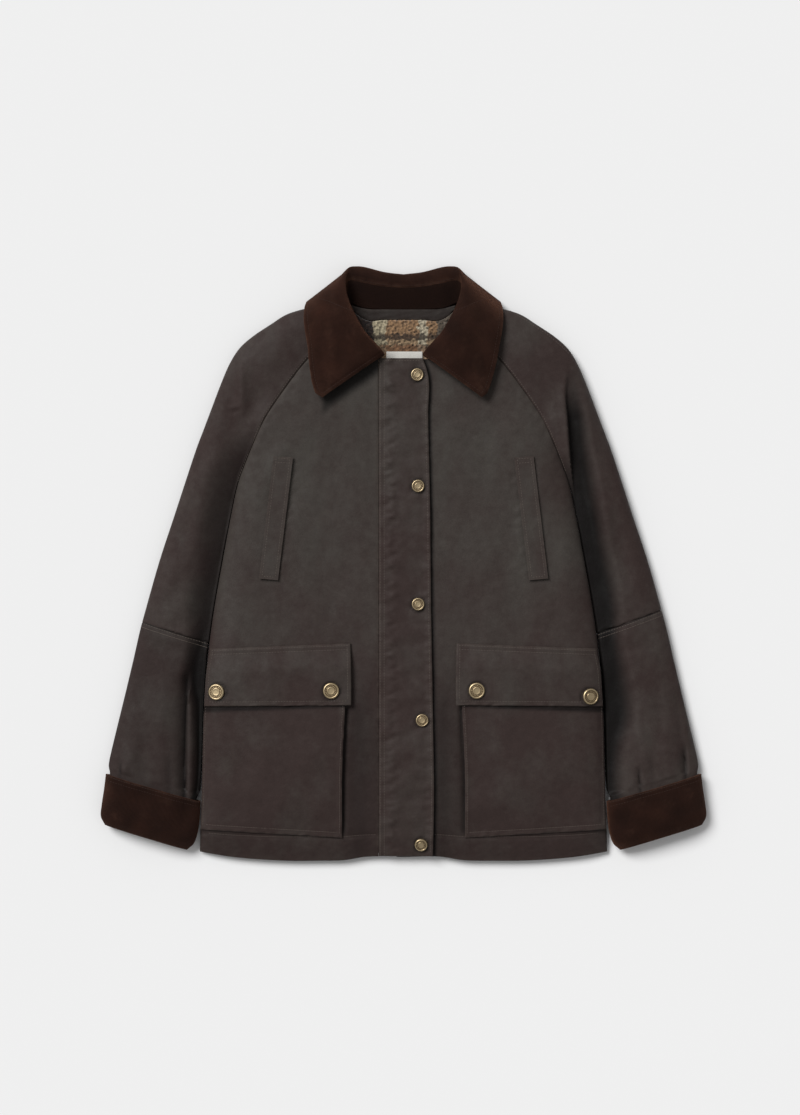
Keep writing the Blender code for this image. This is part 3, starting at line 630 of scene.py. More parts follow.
def wall_mesh(name, outer, inner, ring, attributes):
    """A closed wall between two grids of points, in metres, its outside away from the inner grid."""
    rows, columns = outer.shape[:2]
    spans = columns if ring else columns - 1
    index = np.arange(rows * columns).reshape(rows, columns)
    right = np.roll(index, -1, axis=1)[:, :spans]
    left = index[:, :spans]
    top = np.stack([left[:-1], right[:-1], right[1:], left[1:]], axis=-1).reshape(-1, 4)
    under = top[:, ::-1] + rows * columns
    rims = []
    for r, turn in ((0, 1), (-1, -1)):
        rim = np.stack([left[r], left[r] + rows * columns, right[r] + rows * columns, right[r]], axis=-1)
        rims.append(rim[:, ::turn])
    if not ring:
        for c, turn in ((0, -1), (-1, 1)):
            edge = index[:, c]
            beneath = edge + rows * columns
            rim = np.stack([edge[:-1], beneath[:-1], beneath[1:], edge[1:]], axis=-1)
            rims.append(rim[:, ::turn])
    faces = np.concatenate([top, under, *rims])
    points = np.concatenate([outer.reshape(-1, 3), inner.reshape(-1, 3)])
    middle = rows // 2, columns // 3
    a, b, c = (outer[middle[0] + i, middle[1] + j] for i, j in ((0, 0), (0, 1), (1, 0)))
    if np.dot(np.cross(b - a, c - a), outer[middle] - inner[middle]) < 0:
        faces = faces[:, ::-1]
    mesh = bpy.data.meshes.new(name)
    mesh.from_pydata((points * MM).tolist(), [], faces.tolist())
    mesh.shade_smooth()
    mesh.set_sharp_from_angle(angle=np.radians(55))
    for label, values in attributes.items():
        if values is None:
            continue
        both = np.concatenate([values, values])
        kind, field = ("FLOAT_COLOR", "color") if values.ndim == 3 else ("FLOAT", "value")
        made = mesh.attributes.new(label, kind, "POINT")
        made.data.foreach_set(field, both.reshape(-1).astype(np.float32))
    return mesh


def link(name, data):
    made = bpy.data.objects.new(name, data)
    bpy.context.scene.collection.objects.link(made)
    return made


def add(name, mesh, material):
    mesh.materials.append(material)
    made = link(name, mesh)
    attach(made, "root")
    return made


class Piece:
    """One cut piece of cloth: the form of its outer face, and what is added to it."""

    def __init__(self, node, grid, normals=None, ring=False, mirror=False, roll=(0.45, 1.6), wall=CLOTH):
        self.node, self.grid, self.wall, self.ring = node, grid, wall, ring
        self.slot = SLOTS[wall]
        self.normals = grid_normals(grid, ring) if normals is None else normals
        self.roll = roll
        if mirror:
            self.grid = grid * (-1, 1, 1)
            self.normals = self.normals * (-1, 1, 1)
        self.edge = edge_distance(self.grid, ring)
        self.x, self.y = self.grid[..., 0], self.grid[..., 1]
        self.relief = np.zeros(grid.shape[:2])
        self.drop = np.zeros(grid.shape[:2])
        self.wear = np.exp(-self.edge / 1.6)
        self.tone = np.zeros(grid.shape[:2])
        # shade scales the piece's colour: painted shade and painted shadows in troughs, gaps, under edges and
        # in the neck, and on some pieces an overall darkening
        self.shade = np.ones(grid.shape[:2])
        self.run = self.plaid = None

    def build(self):
        depth, width = self.roll
        height = self.relief - depth * (1 - rounded(self.edge, width))
        outer = self.grid.copy()
        outer[..., 2] += height * np.clip(self.normals[..., 2], 0, 1) - self.drop
        inner = outer - self.wall * self.normals
        looks = {name: getattr(self, name) for name in ("wear", "tone", "shade", "run", "plaid")}
        mesh = wall_mesh(f"{self.node}_cloth", outer, inner, self.ring, looks)
        made = add(f"{self.node}_cloth", mesh, MATERIALS[self.slot])
        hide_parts(self.node)
        width, length, area = cut_of(self.grid, self.ring)
        print(f"cut {self.node} {width:.3f} x {length:.3f} m, {area:.4f} m2")
        built[self.node] = made
        laid[self.node] = self
        return made


# Materials


class Nodes:
    """Builds one material's node tree."""

    def __init__(self, name, roughness, metallic=0.0, **constant):
        self.material = bpy.data.materials.new(name)
        self.material.use_nodes = True
        self.tree = self.material.node_tree
        self.shader = self.tree.nodes["Principled BSDF"]
        self.shader.inputs["Roughness"].default_value = roughness
        self.shader.inputs["Metallic"].default_value = metallic
        for socket, value in constant.items():
            self.shader.inputs[socket.replace("_", " ")].default_value = value
        self.place = self.tree.nodes.new("ShaderNodeTexCoord").outputs["Object"]

    def node(self, kind, settings=(), **inputs):
        made = self.tree.nodes.new(f"ShaderNode{kind}")
        for key, value in dict(settings).items():
            setattr(made, key, value)
        for key, value in inputs.items():
            numbered = key[0] == "i" and key[1:].isdigit()
            self.put(value, made.inputs[int(key[1:]) if numbered else key])
        return made.outputs

    def put(self, value, socket):
        if isinstance(value, bpy.types.NodeSocket):
            self.tree.links.new(value, socket)
        else:
            socket.default_value = value

    def noise(self, size, detail=3.0, rough=0.5, stretch=None):
        place = self.place
        if stretch:
            place = self.node("Mapping", i0=place, Scale=stretch)[0]
        return self.node("TexNoise", Vector=place, Scale=1 / size, Detail=detail, Roughness=rough)[0]

    def attribute(self, name, colour=False):
        return self.node("Attribute", {"attribute_name": name})["Color" if colour else "Fac"]

    def math(self, operation, a, b=0.0, c=0.0, clamp=False):
        return self.node("Math", {"operation": operation, "use_clamp": clamp}, i0=a, i1=b, i2=c)[0]

    def spread(self, value, low, high, out_low=0.0, out_high=1.0):
        return self.node("MapRange", Value=value, i1=low, i2=high, i3=out_low, i4=out_high)[0]

    def mix(self, share, a, b, blend="MIX"):
        made = self.tree.nodes.new("ShaderNodeMix")
        made.data_type = "RGBA"
        made.blend_type = blend
        for number, value in ((0, share), (6, a), (7, b)):
            self.put((*value, 1.0) if isinstance(value, tuple) else value, made.inputs[number])
        return made.outputs[2]

    def scaled(self, colour, value):
        grey = self.node("CombineColor", Red=value, Green=value, Blue=value)[0]
        return self.mix(1.0, colour, grey, "MULTIPLY")

    def bump(self, height, distance, strength=1.0, normal=None):
        below = {} if normal is None else {"Normal": normal}
        return self.node("Bump", Height=height, Distance=distance, Strength=strength, **below)[0]

    def finish(self, colour, roughness=None, normal=None):
        for socket, value in (("Base Color", colour), ("Roughness", roughness), ("Normal", normal)):
            if value is not None:
                self.tree.links.new(value, self.shader.inputs[socket])
        return self.material


def waxed_cotton():
    """Brown cloth with a greenish grey bloom of wax in soft patches, rubbed lighter along its edges, and
    darkened by painted shade where a piece's shade attribute asks for it.
    """
    n = Nodes("waxed_cotton_dry", 0.55, Specular_IOR_Level=0.12, Sheen_Weight=0.02, Sheen_Roughness=0.5)
    patches = n.noise(0.042, 3.0, 0.55, (1.0, 0.5, 1.0))
    mottle = n.noise(0.009, 4.0, 0.6)
    grain = n.noise(0.0012, 2.0, 0.6)
    tone = n.attribute("tone")
    share = n.math("ADD", n.spread(patches, 0.34, 0.66, 0.26, 0.74), tone)
    share = n.math("ADD", share, n.spread(mottle, 0.3, 0.7, -0.12, 0.12), clamp=True)
    colour = n.mix(share, BROWN, BLOOM)
    light = n.math("ADD", n.spread(mottle, 0.25, 0.75, 0.90, 1.08), n.spread(grain, 0.3, 0.7, -0.10, 0.10))
    colour = n.scaled(colour, light)
    rub = n.math("MULTIPLY", n.attribute("wear"), n.spread(n.noise(0.006, 3.0), 0.35, 0.65), clamp=True)
    colour = n.mix(n.math("MULTIPLY", rub, 0.55), colour, RUBBED)
    # Painted shade: each piece's shade attribute darkens the colour.
    colour = n.scaled(colour, n.attribute("shade"))
    rough = n.spread(n.math("ADD", patches, n.math("MULTIPLY", mottle, 0.6)), 0.55, 1.05, 0.66, 0.46)
    weft = n.node("TexWave", {"bands_direction": "X"}, Vector=n.place, Scale=WEAVE, Distortion=1.2)[1]
    warp = n.node("TexWave", {"bands_direction": "Y"}, Vector=n.place, Scale=WEAVE, Distortion=1.2)[1]
    normal = n.bump(n.math("MULTIPLY", weft, warp), 0.00009, 0.8)
    normal = n.bump(n.noise(0.0035, 3.0, 0.6), 0.0003, 0.55, normal)
    normal = n.bump(n.noise(0.016, 3.0, 0.5), 0.0012, 0.5, normal)
    return n.finish(colour, rough, normal)


def corduroy():
    """Fine wales with a brushed nap that turns light and dark in patches, painted shade in the grooves
    between the wales, and painted shade where a piece's shade attribute asks for it.
    """
    n = Nodes("corduroy_nap", 0.85, Specular_IOR_Level=0.10, Sheen_Weight=0.24, Sheen_Roughness=0.45)
    n.shader.inputs["Sheen Tint"].default_value = (0.55, 0.24, 0.14, 1.0)
    nap = n.noise(0.03, 3.0, 0.5)
    fine = n.noise(0.004, 4.0, 0.65)
    colour = n.mix(n.spread(nap, 0.25, 0.78), (0.0185, 0.0070, 0.0046), (0.0305, 0.0116, 0.0072))
    colour = n.scaled(colour, n.spread(fine, 0.25, 0.75, 0.86, 1.14))
    wale = n.math("SINE", n.math("MULTIPLY", n.attribute("run"), 2 * np.pi / WALE))
    # The grooves between the wales are painted darker: painted shade.
    colour = n.scaled(colour, n.spread(wale, -1.0, 1.0, 0.86, 1.06))
    rub = n.math("MULTIPLY", n.attribute("wear"), n.spread(n.noise(0.008, 3.0), 0.3, 0.7), clamp=True)
    colour = n.mix(n.math("MULTIPLY", rub, 0.8), colour, (0.120, 0.060, 0.040))
    # Painted shade: each piece's shade attribute darkens the colour.
    colour = n.scaled(colour, n.attribute("shade"))
    normal = n.bump(wale, 0.0004, 0.6)
    normal = n.bump(fine, 0.0006, 0.5, normal)
    return n.finish(colour, None, normal)


def fleece():
    n = Nodes("fleece_plaid", 0.95, Specular_IOR_Level=0.1, Sheen_Weight=0.3, Sheen_Roughness=0.6)
    loops = n.noise(0.0022, 3.0, 0.6)
    # The colour follows the loops' bump: painted shade between the loops and painted light on their tops.
    colour = n.scaled(n.attribute("plaid", colour=True), n.spread(loops, 0.3, 0.7, 0.62, 1.28))
    normal = n.bump(loops, 0.0012, 0.9)
    return n.finish(colour, None, normal)


def plain(name, colour, roughness, size=0.001, **constant):
    """One colour with fine unevenness in lightness, roughness and surface."""
    n = Nodes(name, roughness, **constant)
    uneven = n.noise(size, 3.0, 0.6)
    shade = n.scaled(n.mix(0.0, colour, colour), n.spread(uneven, 0.3, 0.7, 0.85, 1.12))
    rough = n.spread(uneven, 0.3, 0.7, roughness - 0.06, roughness + 0.08)
    return n.finish(shade, rough, n.bump(uneven, 0.00015, 0.6))


def brass():
    """Antique brass: bright where it is rubbed, brown in its hollows."""
    n = Nodes("antique_brass", 0.36, 1.0)
    tarnish = n.noise(0.0016, 4.0, 0.65)
    hollow = n.math("ADD", n.attribute("hollow"), n.spread(tarnish, 0.35, 0.75, -0.25, 0.35), clamp=True)
    colour = n.mix(hollow, (0.52, 0.41, 0.25), (0.10, 0.062, 0.034))
    rough = n.spread(tarnish, 0.3, 0.7, 0.30, 0.48)
    return n.finish(colour, rough, n.bump(tarnish, 0.00008, 0.5))


# Cut pieces


def steps_for(*widths):
    return tuple(max(int(round(width / STEP)), 2) for width in widths)


def front_grid(rows, inner_x, neck_x, steps):
    """The outer face of one front. It runs from inner_x at the centre, or the neckline above it."""
    points = []
    for y in rows:
        start = inner_x if y <= NECK_Y else max(NECKLINE.at("x", y), neck_x)
        end = body_half(y) - GAP / 2
        levels = (body_level(y), body_level(y), edge_level(y))
        points.append(bowed_row((start, y), (end, y), levels, (0, SIDE_RADIUS), (0, *steps)))
    grid = np.array(points)
    grid[..., 1] += hem_shift(grid[..., 0], grid[..., 1])
    return grid


def raglan_distance(x, y):
    """How far inside the raglan seam a point of the front is, across the seam."""
    return (body_half(y) - np.abs(x)) * np.where(y > UNDERARM_Y, 0.75, 1.0)


def front(side, inner_x, mirror):
    rows = np.concatenate([ticks(HEM_Y, NECK_Y, STEP), ticks(NECK_Y, FRONT_TOP_Y, STEP)[1:]])
    grid = front_grid(rows, inner_x, abs(inner_x), steps_for(165, 42))
    normals = grid_normals(grid)
    flatten_edge(normals, -1, crease(rows))
    piece = Piece(f"front_{side}", grid, normals, mirror=mirror)
    x, y = piece.x, piece.y
    piece.relief += body_relief(x, y)
    hem_line = y - hem_shift(x, y) - HEM_Y
    piece.relief += 0.55 * smoothstep((27.5 - hem_line) / 2.5) - 0.5 * bell(hem_line - HEM_SEAM, 1.8)
    piece.relief += 0.28 * ripple(x, 4 * y, 13, 31) * smoothstep((34 - hem_line) / 10) * (hem_line > 4)
    seam = raglan_distance(x, y)
    above = smoothstep((y - 100) / 30)
    piece.relief += 0.35 * ripple(x + y, x - y, 16, 32) * bell(seam, 9) * above
    pocket_gap = np.abs(np.abs(x) - POCKET_SIDES.at("inner", y) + 1.6)
    below_flap = smoothstep((-165 - y) / 4) * smoothstep((y + 318) / 8)
    piece.relief -= 1.4 * bell(pocket_gap, 2.4) * below_flap
    # Painted shadow in the gap beside the pocket's raised inner edge.
    shade = 1 - 0.7 * bell(pocket_gap, 2.2) * below_flap
    # Painted shadow on the front beside the placket's free edge.
    beside_placket = x - PLACKET.at("edge", y)
    shade *= 1 - 0.75 * smoothstep((beside_placket + 6) / 5) * (1 - smoothstep((beside_placket - 1.5) / 4))
    # Painted shade: the front darker towards the hem, less so just above the hem.
    shade *= 1 - 0.20 * smoothstep((-90 - y) / 120) * (1 - 0.6 * smoothstep((-310 - y) / 14))
    # Painted shade in soft troughs beside the placket, low on the front.
    for centre, width in ((-52.0, 13.0), (46.0, 9.0)):
        shade *= 1 - 0.22 * bell(x - centre, width) * smoothstep((-120 - y) / 60)
    # Painted shadow of the collar's leaf on the front, below its lower edge.
    leaf = (np.array(LEAF_END) - LEAF_START) / LEAF_EDGE
    below_leaf = -(x - LEAF_START[0]) * leaf[1] + (y - LEAF_START[1]) * leaf[0]
    beside_leaf = smoothstep((x + 98) / 8) * smoothstep((-20 - x) / 6)
    leaf_shadow = smoothstep((below_leaf + 8) / 4) * (1 - smoothstep((below_leaf - 7) / 11))
    shade *= 1 - 0.72 * leaf_shadow * beside_leaf
    piece.shade = shade
    piece.tone = 0.60 * smoothstep((y + 170) / 250) - 0.34 + 0.16 * ripple(x, y, 120, 33)
    along = (WELT_TOP[0][1] - y) / (WELT_TOP[0][1] - WELT_BOTTOM[0][1])
    beside = np.abs(x) - WELT_TOP[0][0] - along * (WELT_BOTTOM[0][0] - WELT_TOP[0][0])
    beside_welt = bell(beside + 4.5, 3.5) * smoothstep(along / 0.08) * smoothstep((1 - along) / 0.08)
    piece.relief += 0.5 * ripple(0.4 * x, y, 10, 34) * beside_welt
    piece.build()


def back():
    rows = np.concatenate([ticks(-343.0, 80.0, UNDER_STEP), ticks(80.0, 296.0, UNDER_STEP)[1:]])
    points = []
    for y in rows:
        half = back_half(y) - GAP / 2
        edge, middle = under_edge_level(y), neck_lift(y)
        across = spaced(2 * half, UNDER_RADIUS, UNDER_RADIUS, (5, 40, 5))
        turned = 2 - rounded(across, UNDER_RADIUS) - rounded(2 * half - across, UNDER_RADIUS)
        level = middle + (edge - middle) * turned
        points.append(level_row(across - half, y, level))
    grid = np.array(points)
    lowest = HEM_Y - rows[0]
    grid[..., 1] += hem_shift(grid[..., 0], grid[..., 1] + lowest)
    normals = -grid_normals(grid)
    for column in (0, -1):
        flatten_edge(normals, column, under_crease(rows))
    Piece("back", grid, normals, roll=(0.3, 3.0)).build()


def sleeve_edge(y, upper):
    """Height of the upper sleeve's inner edge, on its front or its back."""
    tucked = smoothstep((UNDERARM_Y - y) / 60)
    fold = side_fold(y) + (SLEEVE_INNER_FOLD - side_fold(y)) * tucked
    if upper:
        fold = fold + GAP / 2
        return fold + (SEAM_LEVEL - 1.0 - fold) * crease(y)
    return neck_lift(y) + (fold - GAP / 2) * (1 - under_crease(y))


def upper_sleeve_grid(rows, upper, steps):
    points = []
    for row in rows:
        ox, oy, level = (UPPER_SLEEVE.at(name, row) for name in ("ox", "oy", "level"))
        iy = UPPER_SLEEVE.at("iy" if upper else "by", row)
        ix = body_half(iy) if upper else back_half(iy)
        fold = SIDE_FOLD + (GAP / 2 if upper else -GAP / 2)
        middle = level if upper else neck_lift(iy) * (iy > UNDERARM_Y)
        radii = (SLEEVE_INNER_RADIUS, SLEEVE_OUTER_RADIUS) if upper else (UNDER_RADIUS, UNDER_RADIUS)
        levels = (sleeve_edge(iy, upper), middle, fold)
        points.append(bowed_row((ix + GAP / 2, iy), (ox, oy), levels, radii, steps))
    return np.array(points)


def depth_to(piece, level):
    """How far a sleeve's upper side stands above a low level, or above its underside beside the body."""
    seam = np.linalg.norm(piece.grid[..., :2] - piece.grid[:, :1, :2], axis=2)
    beneath = SIDE_FOLD * (1 - rounded(seam, UNDER_RADIUS)) + 2 * CLOTH + GAP
    depth = np.clip(piece.grid[..., 2] - np.maximum(level, beneath), 0, 20)
    return depth * smoothstep(seam / 1.5) * on_top(piece)


def press(piece, table, level):
    """Presses a sleeve down to a low level in the valley along its inner edge, and paints shade into that
    valley.
    """
    seam = np.linalg.norm(piece.grid[..., :2] - piece.grid[:, :1, :2], axis=2)
    flat, ramp, most = (table.at(name, piece.y) for name in ("flat", "ramp", "share"))
    share = np.clip((1 - smoothstep((seam - flat + 3) / (1.4 * ramp + 6))) * most, 0, 1)
    piece.drop = np.maximum(piece.drop, share * depth_to(piece, level))
    dark = np.clip((1 - smoothstep((seam - flat) / (1.5 * ramp))) * most, 0, 1)
    piece.shade = np.minimum(piece.shade, 1 - 0.90 * dark)


def beside_path(piece, path):
    """How far right of a path each point is, how far down it, and 1 beside it, fading past its ends."""
    line = smooth_path(path, 30)
    line = line[np.argsort(line[:, 1])]
    beside = piece.x - np.interp(piece.y, line[:, 1], line[:, 0])
    place = np.interp(piece.y, line[:, 1], np.linspace(1, 0, len(line)))
    inside = smoothstep((piece.y - line[0, 1]) / 16 + 0.5) * smoothstep((line[-1, 1] - piece.y) / 16 + 0.5)
    return beside, place, inside


def overlap_fold(piece, path, drops, widths, ramps, lip):
    """Cloth that stands up along a path, falls away steeply to its right and rises again slowly, with painted
    shade where it falls.
    """
    beside, place, inside = beside_path(piece, path)
    shares = np.linspace(0, 1, len(drops))
    drop, width, ramp = (np.interp(place, shares, values) for values in (drops, widths, ramps))
    share = smoothstep(beside / 2.2) * (1 - smoothstep((beside - width + 3) / (1.4 * ramp + 6))) * inside
    piece.drop = np.maximum(piece.drop, np.minimum(drop, depth_to(piece, VALLEY_LEVEL["left"])) * share)
    ridge = bell(beside + 2.5, 4.0) * smoothstep((piece.y - 84) / 24)
    piece.relief += lip * ridge * inside * np.minimum(drop / 5, 1)
    dark = smoothstep(beside / 2.2) * (1 - smoothstep((beside - width) / (1.5 * ramp))) * inside
    dark *= np.minimum(drop / 8, 1)
    piece.shade = np.minimum(piece.shade, 1 - 0.88 * dark)


def crease_fold(piece, path, depth, left, right, dark):
    """A trough that falls slowly from its left and rises steeply on its right, with painted shade along its
    bottom.
    """
    beside, _, inside = beside_path(piece, path)
    shape = bell(beside, np.where(beside < 0, left, right)) * inside
    piece.relief -= depth * shape
    narrow = bell(beside, np.where(beside < 0, 0.6 * left, 0.9 * right)) * inside
    piece.shade *= 1 - dark * narrow


def on_top(piece):
    """1 on the upper side of the cloth, 0 beneath it."""
    return smoothstep((piece.normals[..., 2] + 0.1) / 0.5)


def sleeve_folds(piece, seed):
    x, y = piece.x, piece.y
    piece.relief += 1.8 * relief_of(piece.node, x, y)
    piece.relief += 0.75 * ripple(x, y, 66, seed, 1.8) + 0.25 * ripple(x, y, 30, seed + 1, 1.4)
    piece.tone = -0.26 + 0.16 * ripple(x, y, 90, seed + 2)


def upper_sleeve(side, upper, mirror):
    step = STEP / 26 if upper else UNDER_STEP / 26
    rows = ticks(0.0, 14.0 - ELBOW_RISE[side] / 50, step)
    steps = steps_for(50, 20, 48) if upper else (4, 6, 4)
    grid = upper_sleeve_grid(rows, upper, steps)
    normals = grid_normals(grid) * (-1 if upper else 1)
    inner_y = UPPER_SLEEVE.at("iy" if upper else "by", rows)
    flatten_edge(normals, 0, crease(inner_y) if upper else under_crease(inner_y))
    flatten_edge(normals, -1, np.zeros(len(rows)))
    name = f"sleeve_front_{side}" if upper else f"sleeve_back_{side}"
    roll = (0.7, 2.2) if upper else (0.2, 3.0)
    piece = Piece(name, grid, normals, mirror=mirror, roll=roll)
    if upper:
        sleeve_folds(piece, 41 if mirror else 51)
        press(piece, VALLEY[side], VALLEY_LEVEL[side])
        if side == "left":
            overlap_fold(piece, SHOULDER_FOLD, FOLD_DROPS, FOLD_WIDTHS, FOLD_RAMPS, 1.4)
        seam = np.linalg.norm(grid - grid[:, :1], axis=2)
        piece.relief += 0.45 * bell(seam - 3, 2.5) * smoothstep((inner_y - 90) / 30)[:, None]
        elbow = np.linalg.norm(grid - grid[-1:], axis=2)
        piece.wear *= smoothstep(elbow / 4)
        piece.relief += 0.4 * ripple(5 * piece.y, piece.x, 14, 43) * bell(elbow, 8)
    piece.build()


def tube_grid(table, rows, steps):
    """A flattened tube of cloth: each row goes over the top from inner to outer edge and back beneath."""
    points = []
    for row in rows:
        at = {name: table.at(name, row) for name in table.columns}
        ends = (at["ix"], at["iy"]), (at["ox"], at["oy"])
        over_levels = (at["inner_fold"], at["level"], at["outer_fold"])
        under_levels = (at["inner_fold"], at["under"], at["outer_fold"])
        over = bowed_row(*ends, over_levels, (SLEEVE_INNER_RADIUS, SLEEVE_OUTER_RADIUS), steps)
        beneath = bowed_row(*ends, under_levels, (UNDER_RADIUS, UNDER_RADIUS), (4, 5, 4))
        points.append(np.concatenate([over, beneath[-2:0:-1]]))
    return np.array(points)


def lower_sleeve(side, mirror):
    rows = ticks(-(ELBOW_RISE[side] + ELBOW_TUCK) / 45, 6.0, STEP / 44)
    grid = tube_grid(LOWER_SLEEVE, rows, steps_for(50, 14, 44))
    normals = -grid_normals(grid, ring=True)
    tucked = 1 - smoothstep((np.linalg.norm(grid - grid[:1], axis=2) - ELBOW_TUCK + 0.8) / 1.6)
    grid -= normals * (1.0, 1.0, 0.0) * 1.6 * tucked[..., None]
    piece = Piece(f"sleeve_lower_{side}", grid, normals, ring=True, mirror=mirror)
    sleeve_folds(piece, 61 if mirror else 71)
    elbow = np.linalg.norm(grid - grid[:1], axis=2) - ELBOW_TUCK
    piece.relief += 0.5 * ripple(piece.x, 0.2 * piece.y, 11, 63) * bell(elbow - 4, 4)
    piece.relief -= 0.4 * bell(elbow - 5.5, 1.5)
    piece.relief -= 2.0 * tucked
    # Painted shadow along the elbow seam, just below the upper sleeve's edge.
    piece.shade *= 1 - 0.55 * bell(elbow, 1.3)
    press(piece, VALLEY[side], VALLEY_LEVEL[side])
    for path, *sizes in CUFF_CREASES[side]:
        crease_fold(piece, path, *sizes)
    into_cuff = smoothstep((rows - 4.2) / 0.6)[:, None]
    piece.relief = (piece.relief * (1 - 0.7 * into_cuff) - 0.4 * into_cuff) * on_top(piece)
    piece.drop *= 1 - into_cuff
    # Painted shade: the lower sleeve at -X darker than the one at +X.
    piece.shade *= 0.84 if mirror else 0.99
    piece.build()


def cuff(side, mirror):
    rows = ticks(0.0, 4.0, STEP / 17)
    grid = tube_grid(CUFF, rows, steps_for(50, 16, 46))
    normals = -grid_normals(grid, ring=True)
    piece = Piece(f"cuff_{side}", grid, normals, ring=True, mirror=mirror, roll=(1.0, 3.0), wall=CORDUROY)
    x, y = piece.x, piece.y
    top = on_top(piece)
    piece.relief += top * (relief_of(piece.node, x, y) + 0.5 * ripple(x, y, 40, 81 + mirror))
    upper = arc_lengths(grid, 0)
    piece.relief -= 0.5 * bell(upper - 5.5, 1.5) * top
    piece.run = arc_lengths(np.concatenate([grid, grid[:, :1]], axis=1), 1)[:, :-1]
    piece.wear = 0.6 * np.exp(-piece.edge / 1.2) + 0.12 * (ripple(x, y, 26, 83) > 0.9)
    piece.shade = 0.62 + 0.10 * ripple(x, y, 30, 84)
    piece.build()


def collar_section(row, side, turns, falls):
    """Points across the collar at one section: down the stand from the neck, over the roll, to the edge."""
    value = {name: COLLAR.at(name, row) for name in COLLAR.columns}
    neck = np.array([value["nx"], value["ny"], value["nz"]])
    roll = np.array([value["rx"], value["ry"], value["rz"]])
    spread = np.interp(row, (0, 1, 2, 3.5), TIP_SPREAD[side])
    edge = np.array([value["ex"] + spread, value["ey"], value["ez"]])
    stand_end = roll + ROLL_STAND_SHARE * (neck - roll)
    stand_end[2] = value["az"]
    fall_start = roll + ROLL_FALL_SHARE * (edge - roll)
    fall_start[2] = value["bz"]
    pull = 2 * roll - (stand_end + fall_start) / 2
    t = np.linspace(0, 1, turns)[:, None]
    turn = (1 - t) ** 2 * stand_end + 2 * t * (1 - t) * pull + t ** 2 * fall_start
    t = ticks(0.0, 1.0, 1.0 / falls)[1:, None]
    fall = fall_start + t * (edge - fall_start)
    over = smoothstep((9 - row) / 7)
    lift = LEAF_LIFT * smoothstep((8 - row) / 5.5) * t ** 0.8
    fall[:, 2] += (FALL_BULGE * over * 4 * t * (1 - t) + lift)[:, 0]
    return neck * (side, 1, 1), stand_end * (side, 1, 1), np.concatenate([turn, fall]) * (side, 1, 1)


def collar():
    """The stand and the fall share the normals of one surface, and part along a line near the roll."""
    half = ticks(0.0, 12.0, STEP / 21)
    stations = [(row, 1) for row in half] + [(row, -1) for row in half[-2::-1]]
    surface, slits = [], []
    for row, side in stations:
        neck, stand_end, rest = collar_section(row, side, 9, int(82 / STEP))
        run = stand_end - neck
        slits.append(GAP / 2 * run / np.linalg.norm(run))
        shares = STAND_SHARE * np.linspace(0, 1, 6)
        surface.append(np.concatenate([neck + shares[:, None] * run, rest]))
    surface, slits = np.array(surface), np.array(slits)
    normals = grid_normals(surface)
    stand, fall = surface[:, :6].copy(), surface[:, 5:].copy()
    stand[:, -1] -= slits
    fall[:, 0] += slits
    along = arc_lengths(surface, 0)
    piece = Piece("collar_stand", stand, normals[:, :6], roll=(0.2, 1.5), wall=CORDUROY)
    piece.run = along[:, :6]
    piece.wear *= 0.1
    # Painted shade: the stand, down inside the back neck, is darkened.
    piece.shade *= 0.36
    piece.build()
    piece = Piece("collar_fall", fall, normals[:, 5:], roll=(0.9, 2.6), wall=CORDUROY)
    x, y = piece.x, piece.y
    lying = smoothstep((330 - y) / 40) * on_top(piece)
    piece.relief += lying * (0.45 * ripple(x, y, 34, 91) + 0.15 * ripple(x, y, 14, 92))
    piece.relief -= 0.45 * bell(piece.edge - 5.0, 1.3) * lying
    piece.run = along[:, 5:]
    tips = np.exp(-(((np.abs(x) - 90) / 16) ** 2 + ((y - 200) / 18) ** 2))
    patches = np.clip(ripple(x, y, 22, 93), 0, 1)
    piece.wear = 0.55 * np.exp(-piece.edge / 1.1) + 0.20 * tips + 0.10 * patches
    # Painted light and shade: the leaf at -X, towards the sun, lighter than the one at +X; the whole fall is
    # also darkened in uneven patches.
    piece.shade = 0.70 + 0.10 * ripple(x, y, 28, 94) + 0.22 * smoothstep((-x - 40) / 30)
    piece.build()


def inside_level(y):
    """Just above the back's inner face."""
    return neck_lift(y) + CLOTH + GAP


def neck_facing():
    across = ticks(-60.5, 60.5, STEP)
    top, bottom = FACING.at("top", np.abs(across)), FACING.at("bottom", np.abs(across))
    level = inside_level(BACK_NECK_Y) + CLOTH
    rows = [bottom + share * (top - bottom) for share in np.linspace(0, 1, 7)]
    grid = np.array([level_row(across, y, level) for y in rows])
    piece = Piece("neck_facing", grid, roll=(0.5, 1.5))
    piece.relief += 0.3 + 0.3 * ripple(piece.x, 6 * piece.y, 15, 95)
    piece.shade *= 0.6
    piece.build()


def band_colour(x, y):
    """The plaid at a point: an upright band, part covered by a level one."""
    uprights = np.array([colour for _, colour in UPRIGHT_BANDS])
    column = np.searchsorted([edge for edge, _ in UPRIGHT_BANDS], x, side="right") - 1
    row = np.searchsorted([edge for edge, _, _ in LEVEL_BANDS], y, side="right") - 1
    levels = np.array([colour for _, colour, _ in LEVEL_BANDS])
    cover = np.array([share for _, _, share in LEVEL_BANDS])[row][..., None]
    return uprights[column] * (1 - cover) + levels[row] * cover


